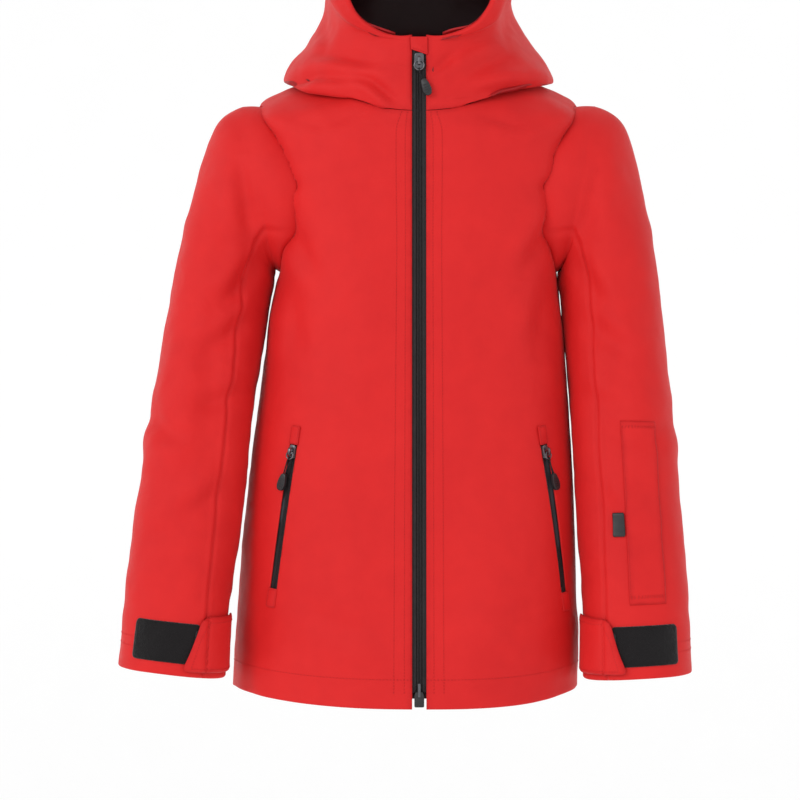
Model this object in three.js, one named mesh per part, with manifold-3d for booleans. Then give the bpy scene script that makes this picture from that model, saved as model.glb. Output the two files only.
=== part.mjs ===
// A child's padded ski jacket with its hood up, hanging from the loop inside the back of its neck.
// Millimetres, +Z up, the front faces -Y, the wearer's left is +X. The sizes are worked from the hem
// (z = 0 at the bottom of the zip), and the whole group is then moved to put the hanger loop at 0,0,0.
import * as THREE from "three";
import { mergeVertices } from "three/addons/utils/BufferGeometryUtils.js";
import Module from "manifold-3d";

const wasm = await Module();
wasm.setup();

// ---------------------------------------------------------------- driving sizes
const FRONT_LENGTH = 560; // hem to neck seam at the centre front
const HEM_HALF_WIDTH = 165;
const HEM_FRONT_DEPTH = 113; // zip in front of the shoulder line, at the hem
const ZIP_LEAN = 0.0537; // the zip line comes back this much for each mm it rises
const BACK_DROP = 12; // the back hem hangs this much lower than the front
const HOOD_RISE = 318; // crown of the hood above the neck seam
const SHOULDER_X = 154.5; // centre of the armhole
const SHOULDER_Z = 492.5;
const ARMHOLE_RADIUS = 79.5; // half the armhole's height
const ARMHOLE_DEPTH = 62; // half its front-to-back size
const SLEEVE_LENGTH = 468; // armhole centre to the middle of the cuff's edge
const CUFF_HALF_WIDTH = 51;
const CUFF_HALF_DEPTH = 53;
const ARM_FORWARD = 58; // the cuff hangs this far in front of the shoulder
const LEFT_SLEEVE_SWING = 3.4; // degrees, the wearer's left arm hangs closer to the body
const FABRIC = 1.2; // outer shell
const PADDING_FROM = 4.6; // how far the padding lies behind the outer face
const SLEEVE_PADDING_FROM = 2.15;
const PADDING_TO = 7.4;
const LINING_FROM = 8.0;
const LINING_TO = 8.8;
const HOOD_LINING_FROM = 6.85;
const HOOD_LINING_TO = 7.7;
const ZIP_WINDOW = 6.7; // half the gap between the two fronts
const TAPE_HALF_WIDTH = 13.5;
const TAPE_FACE = 1.9; // the zip tape lies this far behind the fabric's face
const TAPE_THICKNESS = 0.7;
const COIL_HALF_WIDTH = 2.7;
const ZIP_BOX_TOP = 14.5; // the box and pin take up the bottom of the zip
const ZIP_TOP = 625;
const MAIN_SLIDER_AT = 607;
const POCKET_TOP = [118, 248]; // half-distance and height of each end of a hand pocket's zip
const POCKET_BOTTOM = [138, 106];
const POCKET_WINDOW = 4.2;
const CUFF_PATCH_HEIGHT = 23;
const LOOP_SPAN = 26; // half the hanger loop's width
const LOOP_TOP = 611;
const LOOP_Y = 50.6;
const GAP = 0.4; // room left between pieces that touch

// ---------------------------------------------------------------- finishes
const finish = (color, roughness, metalness = 0) =>
  new THREE.MeshStandardMaterial({ color, roughness, metalness });
const RED = finish(0xd8241f, 0.82);
const RED_UNDER = finish(0xb51c1b, 0.85);
const BLACK_CLOTH = finish(0x16161a, 0.9);
const GREY_CLOTH = finish(0x3a3a40, 0.85);
const PADDING = finish(0xe9e9e4, 0.95);
const TAPE = finish(0x1b1b1e, 0.8);
const COIL = finish(0x101012, 0.45);
const LOOP_PILE = finish(0x0c0c0e, 0.98);
const METAL = finish(0x24242a, 0.35, 0.8);
const MOULDED = finish(0x17171a, 0.5);

// ---------------------------------------------------------------- solids
const V = (x, y, z) => new THREE.Vector3(x, y, z);

function solid(geometry) {
  const bare = geometry.clone();
  bare.deleteAttribute("normal");
  bare.deleteAttribute("uv");
  const merged = mergeVertices(bare, 1e-4);
  const index = merged.index ? merged.index.array : [];
  return new wasm.Manifold(
    new wasm.Mesh({
      numProp: 3,
      vertProperties: merged.attributes.position.array,
      triVerts: new Uint32Array(index),
    }),
  );
}

function geometryOf(made) {
  const mesh = made.getMesh();
  const geometry = new THREE.BufferGeometry();
  geometry.setAttribute("position", new THREE.BufferAttribute(mesh.vertProperties, 3));
  geometry.setIndex(new THREE.BufferAttribute(mesh.triVerts, 1));
  return geometry;
}

function cut(geometry, ...tools) {
  return geometryOf(tools.reduce((body, tool) => body.subtract(solid(tool)), solid(geometry)));
}

function join(...geometries) {
  const [first, ...rest] = geometries.map(solid);
  return geometryOf(rest.reduce((body, piece) => body.add(piece), first));
}

function box(x0, x1, y0, y1, z0, z1) {
  const made = new THREE.BoxGeometry(x1 - x0, y1 - y0, z1 - z0);
  return made.translate((x0 + x1) / 2, (y0 + y1) / 2, (z0 + z1) / 2);
}

// A closed solid from loose triangles, turned to face outwards.
function closedBody(triangles) {
  let volume = 0;
  for (const [a, b, c] of triangles) volume += a.dot(V(0, 0, 0).crossVectors(b, c));
  const order = volume < 0 ? [0, 2, 1] : [0, 1, 2];
  const flat = [];
  for (const t of triangles) for (const k of order) flat.push(t[k].x, t[k].y, t[k].z);
  const geometry = new THREE.BufferGeometry();
  geometry.setAttribute("position", new THREE.Float32BufferAttribute(flat, 3));
  return geometry;
}

// ---------------------------------------------------------------- lofted cloth
// A station is a ring from point a (front, or inside of the arm) to point b (back, or outside), with
// a half-width across them, a squareness n, a lift of its two sides, and a shift of its sides in x.
const FIELDS = ["ax", "ay", "az", "bx", "by", "bz", "w", "n", "lift", "shift"];

function between(p, q, r, s, t) {
  const slopeIn = (r - p) / 2;
  const slopeOut = (s - q) / 2;
  const t2 = t * t;
  const t3 = t2 * t;
  return (
    q * (2 * t3 - 3 * t2 + 1) + slopeIn * (t3 - 2 * t2 + t) +
    r * (3 * t2 - 2 * t3) + slopeOut * (t3 - t2)
  );
}

function loft(stations, side) {
  const last = stations.length - 1;
  const ring = (u) => {
    const i = Math.max(0, Math.min(Math.floor(u), last - 1));
    const at = (k) => stations[Math.max(0, Math.min(k, last))];
    const out = {};
    for (const f of FIELDS)
      out[f] = between(at(i - 1)[f], at(i)[f], at(i + 1)[f], at(i + 2)[f], u - i);
    return out;
  };
  const power = (value, n) => Math.sign(value) * Math.abs(value) ** (2 / n);
  const surface = (u, degrees) => {
    const r = ring(u);
    const turn = THREE.MathUtils.degToRad(degrees);
    const along = power(Math.sin(turn), r.n);
    const across = power(Math.cos(turn), r.n);
    const a = V(r.ax, r.ay, r.az);
    const b = V(r.bx, r.by, r.bz);
    const point = a.clone().add(b).multiplyScalar(0.5);
    point.addScaledVector(b.sub(a), along / 2);
    point.addScaledVector(side, r.w * across);
    point.z += r.lift * (1 - along * along);
    point.x += (r.shift / 2) * (1 - along * along);
    return point;
  };
  surface.ring = ring;
  surface.middle = (u) => {
    const r = ring(u);
    return V(r.ax + r.bx, r.ay + r.by, r.az + r.bz).multiplyScalar(0.5);
  };
  surface.normal = (u, degrees) => {
    const lo = Math.max(0, u - 0.02);
    const hi = Math.min(last, u + 0.02);
    const up = surface(hi, degrees).sub(surface(lo, degrees));
    const round = surface(u, degrees + 0.8).sub(surface(u, degrees - 0.8));
    const normal = round.cross(up).normalize();
    const outward = surface(u, degrees).sub(surface.middle(u));
    return normal.dot(outward) < 0 ? normal.negate() : normal;
  };
  return surface;
}

// A sheet of cloth or padding that follows a loft: from one depth to another behind its face.
// span(s, degrees) gives the place along the loft, for s from 0 to 1.
function sheet(surface, span, rows, angles, outer, inner, round = false) {
  const grid = (depth) =>
    rows.map((s) =>
      angles.map((degrees) => {
        const u = span(s, degrees);
        return surface(u, degrees).addScaledVector(surface.normal(u, degrees), -depth);
      }),
    );
  const top = grid(outer);
  const under = grid(inner);
  const triangles = [];
  const quad = (a, b, c, d) => triangles.push([a, b, c], [a, c, d]);
  const columns = round ? angles.length : angles.length - 1;
  const next = (j) => (j + 1) % angles.length;
  for (let i = 0; i < rows.length - 1; i++)
    for (let j = 0; j < columns; j++) {
      quad(top[i][j], top[i][next(j)], top[i + 1][next(j)], top[i + 1][j]);
      quad(under[i][j], under[i + 1][j], under[i + 1][next(j)], under[i][next(j)]);
    }
  for (let j = 0; j < columns; j++) {
    const end = rows.length - 1;
    quad(top[0][j], under[0][j], under[0][next(j)], top[0][next(j)]);
    quad(top[end][j], top[end][next(j)], under[end][next(j)], under[end][j]);
  }
  if (!round)
    for (let i = 0; i < rows.length - 1; i++) {
      const end = angles.length - 1;
      quad(top[i][0], top[i + 1][0], under[i + 1][0], under[i][0]);
      quad(top[i][end], under[i][end], under[i + 1][end], top[i + 1][end]);
    }
  return closedBody(triangles);
}

const steps = (from, to, count) =>
  Array.from({ length: count + 1 }, (_, i) => from + ((to - from) * i) / count);

// ---------------------------------------------------------------- the body of the jacket
const zipY = (z) => -(HEM_FRONT_DEPTH - ZIP_LEAN * z);
const bodyRing = (frontZ, backY, backZ, w, n, sideZ, shift) => ({
  ax: 0, ay: zipY(frontZ), az: frontZ,
  bx: shift, by: backY, bz: backZ,
  w, n, lift: sideZ - (frontZ + backZ) / 2, shift,
});
const NECK = bodyRing(FRONT_LENGTH, 62, 603, 84, 2.3, 602, 0);
const BODY = [
  bodyRing(0, 118, -BACK_DROP, HEM_HALF_WIDTH, 2.6, 12, -14),
  bodyRing(100, 116, 95, 163, 2.6, 105, -12),
  bodyRing(200, 113, 198, 158, 2.7, 202, -9),
  bodyRing(300, 110, 300, 148, 2.8, 301, -5),
  bodyRing(392, 106, 398, 137, 3.0, 397, -2),
  bodyRing(440, 103, 450, 134, 3.1, 449, 0),
  bodyRing(485, 100, 500, 144, 3.1, 504, 0),
  bodyRing(518, 95, 542, 152, 3.0, 548, 0),
  bodyRing(536, 90, 568, 157, 2.9, 566, 0),
  bodyRing(545, 84, 582, 150, 2.8, 576, 0),
  bodyRing(553, 74, 594, 118, 2.5, 589, 0),
  NECK,
];
const body = loft(BODY, V(1, 0, 0));
const BODY_TOP = BODY.length - 1.02;
const FRONT = -90;
const BACK = 90;
const SIDE_SEAM = 12; // degrees behind the side

const armhole = (side) => {
  const ball = new THREE.SphereGeometry(1, 32, 20);
  ball.scale(ARMHOLE_RADIUS + 0.7, ARMHOLE_DEPTH + 0.7, ARMHOLE_RADIUS + 0.7);
  return ball.translate(side * SHOULDER_X, 0, SHOULDER_Z);
};

const zipSlot = (half) => box(-half, half, -140, -40, -20, 660);

// One panel of the body between two angles; the wearer's left is side 1.
function bodyPanel(from, to, columns, outer, inner, slot) {
  const rows = [0, ...steps(1, BODY.length - 2, BODY.length - 3), BODY_TOP];
  const panel = sheet(body, (s) => s, rows, steps(from, to, columns), outer, inner);
  return cut(panel, armhole(1), armhole(-1), ...(slot ? [zipSlot(slot)] : []));
}

function frontPanel(side, outer, inner, columns, slot) {
  const seam = SIDE_SEAM - 0.15;
  return side > 0
    ? bodyPanel(FRONT, seam, columns, outer, inner, slot)
    : bodyPanel(-180 - seam, FRONT, columns, outer, inner, slot);
}

const backPanel = (outer, inner, columns) =>
  bodyPanel(SIDE_SEAM + 0.15, 180 - SIDE_SEAM - 0.15, columns, outer, inner);

function bodyPadding(...pocketRooms) {
  const rows = [0.06, ...steps(1, BODY.length - 2, BODY.length - 3), BODY_TOP - 0.1];
  const left = steps(FRONT, SIDE_SEAM, 6);
  const rear = steps(SIDE_SEAM, 180 - SIDE_SEAM, 8);
  const right = steps(180 - SIDE_SEAM, 270, 6);
  const angles = [FRONT + 0.5, ...left.slice(1), ...rear.slice(1), ...right.slice(1, -1), 269.5];
  const wadding = sheet(body, (s) => s, rows, angles, PADDING_FROM, PADDING_TO);
  const slot = zipSlot(TAPE_HALF_WIDTH + 1.3);
  return cut(wadding, armhole(1), armhole(-1), slot, ...pocketRooms);
}

// ---------------------------------------------------------------- hood and collar
const hoodRing = (frontZ, backY, backZ, w, n, sideZ) => bodyRing(frontZ, backY, backZ, w, n, sideZ, 0);
const crown = FRONT_LENGTH + HOOD_RISE;
const HOOD = [
  { ...NECK, az: NECK.az + 0.5, bz: NECK.bz + 0.5 },
  hoodRing(566, 84, 603, 112, 2.2, 597),
  hoodRing(576, 104, 612, 131, 2.2, 596),
  hoodRing(592, 116, 640, 124, 2.3, 615),
  hoodRing(606, 121, 676, 104, 2.3, 641),
  hoodRing(616, 122, 712, 92, 2.3, 665),
  hoodRing(623, 119, 756, 90, 2.4, 691),
  hoodRing(626, 108, 806, 93, 2.5, 716),
  hoodRing(627, 82, crown - 32, 96, 2.7, 737),
  hoodRing(627.6, 40, crown - 8, 96, 2.9, 749),
  hoodRing(628.2, -8, crown, 93, 3.0, 753),
  hoodRing(628.8, -52, crown - 7, 87, 3.1, 750),
  hoodRing(629.4, -92, crown - 26, 80, 3.2, 741),
];
const hood = loft(HOOD, V(1, 0, 0));
const RIM = HOOD.length - 1;
const CHIN_END = 25; // degrees either side of the zip where the chin guard reaches the rim
const COLLAR_SIDE = 65; // degrees where the collar has come down to its full round
const HOOD_GAP = 0.035;

// How far up the loft the collar reaches, by angle from the zip.
function collarTop(degrees) {
  const fromZip = Math.abs(((degrees - FRONT + 180) % 360 + 360) % 360 - 180);
  if (fromZip <= CHIN_END) return RIM;
  const down = Math.min(1, (fromZip - CHIN_END) / (COLLAR_SIDE - CHIN_END));
  const back = Math.max(0, (fromZip - COLLAR_SIDE) / (180 - COLLAR_SIDE));
  return RIM - (RIM - 4) * down - back;
}

const collarSpan = (s, degrees) => s * collarTop(degrees);
const hoodSpan = (s, degrees) => {
  const from = Math.min(collarTop(degrees) + HOOD_GAP, RIM - 0.2);
  return from + (RIM - from) * s;
};

const COLLAR_COLUMNS = [0, 8, 16, 25, 33, 41, 49, 57, 65, 80, 95, 110, 125, 140, 155, 167];

// The hood's surface with its first column moved to the edge of the zip's gap.
function besideZip(side) {
  const moved = (u, degrees) => {
    if (degrees !== FRONT) return degrees;
    const r = hood.ring(u);
    const across = (ZIP_WINDOW / r.w) ** (r.n / 2);
    return FRONT + side * (90 - THREE.MathUtils.radToDeg(Math.acos(across)));
  };
  const surface = (u, degrees) => hood(u, moved(u, degrees));
  surface.normal = (u, degrees) => hood.normal(u, moved(u, degrees));
  return surface;
}

function collarPanel(side) {
  const angles = [...COLLAR_COLUMNS, 179.85].map((a) => FRONT + side * a);
  if (side < 0) angles.reverse();
  return sheet(besideZip(side), collarSpan, steps(0, 1, 7), angles, 0, FABRIC);
}

const CENTRE_FROM = 152; // degrees from the zip where the hood's centre panel starts

function hoodSidePanel(side) {
  const angles = [28, 34, 41, 49, 57, 65, 80, 95, 110, 125, 139, CENTRE_FROM - 0.2];
  return sheet(
    hood, hoodSpan, steps(0, 1, 9), angles.map((a) => FRONT + side * a), 0, FABRIC,
  );
}

function hoodCentrePanel() {
  return sheet(
    hood, hoodSpan, steps(0, 1, 9), steps(FRONT + CENTRE_FROM, FRONT + 360 - CENTRE_FROM, 4), 0, FABRIC,
  );
}

function hoodLining() {
  const half = [35, 45, 55, 65, 88, 111, 134, 157];
  const angles = [...half.map((a) => FRONT + a), BACK, ...half.map((a) => FRONT + 360 - a).reverse()];
  const rows = [0.05, ...steps(1 / 9, 8 / 9, 7), 0.99];
  return sheet(hood, hoodSpan, rows, angles, HOOD_LINING_FROM, HOOD_LINING_TO);
}

// ---------------------------------------------------------------- sleeves
// Stations of the wearer's right sleeve, given as inner and outer edge; the left one is mirrored.
const armRing = (ix, iz, ox, oz, forward, w, n) => ({
  ax: -ix, ay: -forward, az: iz, bx: -ox, by: -forward, bz: oz, w, n, lift: 0, shift: 0,
});
const cuffZ = SHOULDER_Z - SLEEVE_LENGTH * 0.984;
const ARM = [
  armRing(124, 419.2, 154, 571.6, 0, ARMHOLE_DEPTH - 1.6, 2),
  armRing(139.2, 414.6, 169.8, 570, 0, ARMHOLE_DEPTH - 0.6, 2),
  armRing(141, 409, 189, 561, 0, ARMHOLE_DEPTH - 2, 2),
  armRing(143, 403, 202, 540, 1, 58, 2),
  armRing(146, 393, 214, 503, 2, 57, 2.05),
  armRing(149, 378, 228, 451, 5, 57, 2.1),
  armRing(152, 354, 238, 402, 9, 57, 2.2),
  armRing(159, 306, 253, 308, 20, 56, 2.4),
  armRing(168, 218, 264, 226, 34, 55, 2.4),
  armRing(177, 126, 275, 136, 46, 54, 2.5),
  armRing(184, cuffZ - 6, 184 + 2 * CUFF_HALF_WIDTH, cuffZ + 6, ARM_FORWARD, CUFF_HALF_DEPTH, 2.5),
];
const ARM_END = ARM.length - 1;
const arm = loft(ARM, V(0, -1, 0));
const UNDER_FROM = -152; // the under panel covers the inside of the arm
const UNDER_TO = -34;

// Puts a piece worked on the right sleeve in its place on either side.
function onSleeve(side, geometry) {
  if (side < 0) return geometry;
  const turned = geometry.clone();
  turned.scale(-1, 1, 1);
  const bare = turned.index ? turned.toNonIndexed() : turned;
  const p = bare.attributes.position;
  for (let i = 0; i < p.count; i += 3) {
    const b = V(p.getX(i + 1), p.getY(i + 1), p.getZ(i + 1));
    p.setXYZ(i + 1, p.getX(i + 2), p.getY(i + 2), p.getZ(i + 2));
    p.setXYZ(i + 2, b.x, b.y, b.z);
  }
  bare.translate(-SHOULDER_X, 0, -SHOULDER_Z);
  bare.rotateY(THREE.MathUtils.degToRad(LEFT_SLEEVE_SWING));
  return bare.translate(SHOULDER_X, 0, SHOULDER_Z);
}

const sleevePiece = (from, to, columns, outer, inner) =>
  sheet(arm, (s) => s, steps(0, ARM_END, ARM_END), steps(from, to, columns), outer, inner);
const sleeveTube = (outer, inner, top, bottom) =>
  sheet(
    arm, (s) => top + (bottom - top) * s, steps(0, 1, ARM_END),
    steps(0, 330, 11), outer, inner, true,
  );

function sleeve(side, name) {
  const made = {
    [name + "_upper_sleeve"]: [sleevePiece(UNDER_TO + 0.4, 208 - 0.4, 14, 0, FABRIC), RED],
    [name + "_under_sleeve"]: [sleevePiece(UNDER_FROM + 0.4, UNDER_TO - 0.4, 8, 0, FABRIC), RED],
    [name + "_sleeve_padding"]: [sleeveTube(SLEEVE_PADDING_FROM, PADDING_TO, 0.1, ARM_END - 0.15), PADDING],
    [name + "_sleeve_lining"]: [sleeveTube(LINING_FROM, LINING_TO, 0.05, ARM_END - 0.03), BLACK_CLOTH],
    [name + "_cuff_patch"]: [cuffPatch(), LOOP_PILE],
    [name + "_cuff_tab"]: [cuffTab(TAB_FROM, TAB_TO, CUFF_TAB_SPAN, 4.1, 5.5), RED],
    [name + "_cuff_hooks"]: [cuffTab(TAB_FROM + 24, TAB_TO - 3, CUFF_HOOK_SPAN, 3.1, 3.7), LOOP_PILE],
  };
  if (side > 0) {
    made.sleeve_pocket_flap = [flap(), RED];
    made.sleeve_pocket_tab = [pocketTab(), BLACK_CLOTH];
  }
  for (const key of Object.keys(made)) made[key][0] = onSleeve(side, made[key][0]);
  return made;
}

// Cuff: a loop patch with a flat face across the front, and a tab that closes over its inner end.
const TAB_FROM = -88;
const TAB_TO = -16;
const CUFF_AT = ARM_END - 0.34; // middle of the tab, along the sleeve
const CUFF_TAB_SPAN = 0.23;
const CUFF_HOOK_SPAN = 0.14;

function cuffTab(from, to, half, outer, inner) {
  return sheet(
    arm, (s) => CUFF_AT + half * s, [-1, 0, 1], steps(from, to, 8), -inner, -outer,
  );
}

function cuffPatch() {
  const middle = arm(CUFF_AT, 0);
  const normal = arm.normal(CUFF_AT, 0);
  const down = arm(CUFF_AT + 0.1, 0).sub(arm(CUFF_AT - 0.1, 0)).normalize();
  const flatHalf = 13;
  const reach = 30;
  const fall = 5.2;
  const face = new THREE.Shape();
  const outline = [
    [-reach, 0.5 - fall], [-flatHalf, 0.5], [flatHalf, 0.5], [reach, 0.5 - fall],
    [reach + 1, 1.9 - fall], [flatHalf + 0.6, 2.0], [-flatHalf - 0.6, 2.0], [-reach - 1, 1.9 - fall],
  ];
  outline.forEach(([x, y], i) => (i ? face.lineTo(x, y) : face.moveTo(x, y)));
  const plate = new THREE.ExtrudeGeometry(face, { depth: CUFF_PATCH_HEIGHT, bevelEnabled: false });
  plate.translate(0, 0, -CUFF_PATCH_HEIGHT / 2);
  const across = normal.clone().cross(down).normalize();
  const frame = new THREE.Matrix4().makeBasis(across, normal, down.clone());
  if (frame.determinant() < 0) throw new Error("left-handed frame");
  return plate.applyMatrix4(frame).translate(middle.x, middle.y, middle.z);
}

// Concealed pocket on the wearer's left forearm.
const FLAP_TOP = 7.45;
const FLAP_END = 9.3;
const flap = () =>
  sheet(arm, (s) => s, steps(FLAP_TOP, FLAP_END, 5), steps(-6, 26, 4), -1.8, -0.6);
const pocketTab = () =>
  sheet(arm, (s) => s, [8.42, 8.66], [-20, -14, -8], -1.5, -0.6);

// ---------------------------------------------------------------- zips
// A zip works in its own frame: x across, y out of the cloth, z up the zip.
function onLine(bottom, top, outward, geometry) {
  const up = top.clone().sub(bottom).normalize();
  const out = outward.clone().addScaledVector(up, -outward.dot(up)).normalize();
  const across = out.clone().cross(up);
  return geometry.applyMatrix4(new THREE.Matrix4().makeBasis(across, out, up).setPosition(bottom));
}

const MAIN_BOTTOM = V(0, zipY(0), 0);
const MAIN_TOP = V(0, zipY(ZIP_TOP), ZIP_TOP);
const mainZip = (geometry) => onLine(MAIN_BOTTOM, MAIN_TOP, V(0, -1, 0), geometry);

// The wearer's left half has negative x in the zip's frame.
const zipTape = (side) => {
  const [a, b] = [-side * (COIL_HALF_WIDTH + 0.3), -side * TAPE_HALF_WIDTH];
  return mainZip(
    box(Math.min(a, b), Math.max(a, b), -TAPE_FACE - TAPE_THICKNESS, -TAPE_FACE, ZIP_BOX_TOP + GAP, ZIP_TOP),
  );
};
const zipCoil = (side) => {
  const [a, b] = [-side * 0.15, -side * COIL_HALF_WIDTH];
  return mainZip(box(Math.min(a, b), Math.max(a, b), -2.5, -0.4, ZIP_BOX_TOP + GAP, ZIP_TOP - 8));
};

// The channel that runs on the coil, with the bridge that holds the pull.
function slider(half, wall, length) {
  const section = new THREE.Shape();
  const outline = [
    [-half, -1.5], [-half + wall, -1.5], [-half + wall, 0], [half - wall, 0],
    [half - wall, -1.5], [half, -1.5], [half, 1.0], [half - 1, 1.7], [-half + 1, 1.7], [-half, 1.0],
  ];
  outline.forEach(([x, y], i) => (i ? section.lineTo(x, y) : section.moveTo(x, y)));
  const channel = new THREE.ExtrudeGeometry(section, { depth: length, bevelEnabled: false });
  channel.translate(0, 0, -length / 2);
  const arch = new THREE.Shape();
  const bridge = [
    [-4, 1.2], [-4, 5.2], [-2.6, 6.5], [2.6, 6.5], [4, 5.2], [4, 1.2],
    [2.4, 1.2], [2.4, 5.5], [-2.4, 5.5], [-2.4, 1.2],
  ];
  bridge.forEach(([z, y], i) => (i ? arch.lineTo(z, y) : arch.moveTo(z, y)));
  const span = new THREE.ExtrudeGeometry(arch, { depth: 2.2, bevelEnabled: false });
  span.translate(0, 0, -1.1).rotateY(-Math.PI / 2);
  return join(channel, span);
}
const PIN_Y = 3.9; // the pull turns about this height above the cloth

class Oval extends THREE.Curve {
  constructor(halfWidth, height) {
    super();
    Object.assign(this, { halfWidth, height });
  }
  getPoint(t, target = new THREE.Vector3()) {
    const turn = 2 * Math.PI * t;
    const half = this.height / 2;
    return target.set(this.halfWidth * Math.sin(turn), PIN_Y, half * Math.cos(turn) - half);
  }
}
const WIRE = 0.55;
const pullRing = (halfWidth, height) =>
  new THREE.TubeGeometry(new Oval(halfWidth, height), 16, WIRE, 6, true);

const CORD = 0.6;
function pullCord(ringHeight, drop) {
  const low = -ringHeight;
  const end = low - drop;
  const way = [
    [0.9, 0, end - 6.5], [0.9, 0, end - 2], [0.9, 0.1, end + 1.5], [0.5, 1.0, low - 3],
    [0, 1.35, low - 0.6], [0, 0.85, low + 1.1], [0, 0, low + 1.5], [0, -0.85, low + 1.1],
    [0, -1.35, low - 0.6], [-0.5, -1.0, low - 3], [-0.9, -0.1, end + 1.5],
    [-0.9, 0, end - 2], [-0.9, 0, end - 6.5],
  ].map(([x, y, z]) => V(x, y + PIN_Y, z));
  return new THREE.TubeGeometry(new THREE.CatmullRomCurve3(way), 24, CORD, 8, false);
}

// TubeGeometry leaves its ends open, so a cord gets a disc at each end.
function capped(tube, sides) {
  const p = tube.attributes.position;
  const at = (i) => V(p.getX(i), p.getY(i), p.getZ(i));
  const triangles = [];
  const index = tube.index.array;
  for (let i = 0; i < index.length; i += 3)
    triangles.push([at(index[i]), at(index[i + 1]), at(index[i + 2])]);
  const ring = sides + 1;
  const count = p.count / ring;
  for (const [row, flip] of [[0, false], [count - 1, true]]) {
    const rim = Array.from({ length: sides }, (_, k) => at(row * ring + k));
    const middle = rim.reduce((sum, v) => sum.add(v), V(0, 0, 0)).multiplyScalar(1 / sides);
    rim.forEach((v, k) => {
      const w = rim[(k + 1) % sides];
      triangles.push(flip ? [middle, w, v] : [middle, v, w]);
    });
  }
  return closedBody(triangles);
}

const TAB_LENGTH = 16;
function pullTab(ringHeight, drop) {
  const top = -ringHeight - drop;
  const face = new THREE.Shape();
  face.moveTo(-2.4, 0);
  face.lineTo(2.4, 0);
  face.quadraticCurveTo(4.6, -6, 4.3, -11.5);
  face.quadraticCurveTo(3.9, -TAB_LENGTH, 0, -TAB_LENGTH);
  face.quadraticCurveTo(-3.9, -TAB_LENGTH, -4.3, -11.5);
  face.quadraticCurveTo(-4.6, -6, -2.4, 0);
  const plate = new THREE.ExtrudeGeometry(face, { depth: 4.2, bevelEnabled: false, curveSegments: 5 });
  plate.translate(0, 0, -2.1).rotateX(Math.PI / 2).translate(0, PIN_Y, top);
  return cut(plate, box(-1.9, 1.9, PIN_Y - 1, PIN_Y + 1, top - 7, top + 1));
}

// The extruded shape lies in x and y; turned so its y runs up the zip and its depth out of the cloth.

function pullSet(name, ringWidth, ringHeight, drop, place) {
  return {
    [name + "_pull_ring"]: [place(pullRing(ringWidth, ringHeight)), METAL],
    [name + "_pull_cord"]: [place(capped(pullCord(ringHeight, drop), 8)), BLACK_CLOTH],
    [name + "_pull_tab"]: [place(pullTab(ringHeight, drop)), MOULDED],
  };
}

// ---------------------------------------------------------------- hand pockets
// Finds the place on the body with a given half-distance and height, on one side.
function onBody(side, x, z) {
  let best = null;
  for (const u of steps(0.2, 4, 76))
    for (const degrees of steps(-89, -5, 168)) {
      const turned = side > 0 ? degrees : -180 - degrees;
      const point = body(u, turned);
      const miss = Math.hypot(side * point.x - x, point.z - z);
      if (!best || miss < best.miss) best = { miss, u, degrees: turned, point };
    }
  return best;
}

function handPocket(side, name) {
  const top = onBody(side, ...POCKET_TOP);
  const bottom = onBody(side, ...POCKET_BOTTOM);
  const middle = onBody(
    side, (POCKET_TOP[0] + POCKET_BOTTOM[0]) / 2, (POCKET_TOP[1] + POCKET_BOTTOM[1]) / 2,
  );
  const outward = body.normal(middle.u, middle.degrees);
  const place = (g) => onLine(bottom.point, top.point, outward, g);
  const length = top.point.distanceTo(bottom.point);
  const sliderAt = length - 8;
  const raised = (g) => place(g.translate(0, 0, sliderAt));
  const inward = side > 0 ? -1 : 1;
  const bagAngles = steps(6, 26, 4).map((a) => top.degrees + inward * a);
  return {
    length,
    room: place(box(-7, 7, -16, 6, -6, length + 6)),
    window: place(box(-POCKET_WINDOW, POCKET_WINDOW, -8, 12, -2, length + 2)),
    pieces: {
      [name + "_pocket_tape"]: [place(box(-5.4, 5.4, -3.75, -3.05, -2.5, length + 4)), TAPE],
      [name + "_pocket_coil"]: [place(box(-1.6, 1.6, -1.9, -0.4, -1, length + 1)), COIL],
      [name + "_pocket_bag"]: [
        sheet(body, (s) => s, steps(bottom.u - 0.1, top.u - 0.12, 3), bagAngles, 1.8, 3.4),
        GREY_CLOTH,
      ],
    },
    mover: {
      [name + "_pocket_slider"]: [raised(slider(3.3, 1.0, 13)), METAL],
      ...pullSet(name + "_pocket", 3.6, 7, 15, raised),
    },
  };
}

// ---------------------------------------------------------------- assembly
const root = new THREE.Group();
root.name = "ski_jacket";

function add(pieces) {
  for (const [name, [geometry, material]] of Object.entries(pieces)) {
    const mesh = new THREE.Mesh(geometry, material);
    mesh.name = name;
    root.add(mesh);
  }
}

const pocketRooms = [];
for (const [side, name] of [[1, "left"], [-1, "right"]]) {
  const pocket = handPocket(side, name);
  pocketRooms.push(pocket.room);
  add({
    [name + "_front"]: [cut(frontPanel(side, 0, FABRIC, 12, ZIP_WINDOW), pocket.window), RED],
    [name + "_front_lining"]: [
      frontPanel(side, LINING_FROM, LINING_TO, 6, TAPE_HALF_WIDTH + 1.3), BLACK_CLOTH,
    ],
    [name + "_collar"]: [collarPanel(side), RED],
    [name + "_hood_panel"]: [hoodSidePanel(side), RED],
    [name + "_zip_tape"]: [zipTape(side), TAPE],
    [name + "_zip_coil"]: [zipCoil(side), COIL],
    ...pocket.pieces,
    ...pocket.mover,
    ...sleeve(side, name),
  });
}

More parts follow.
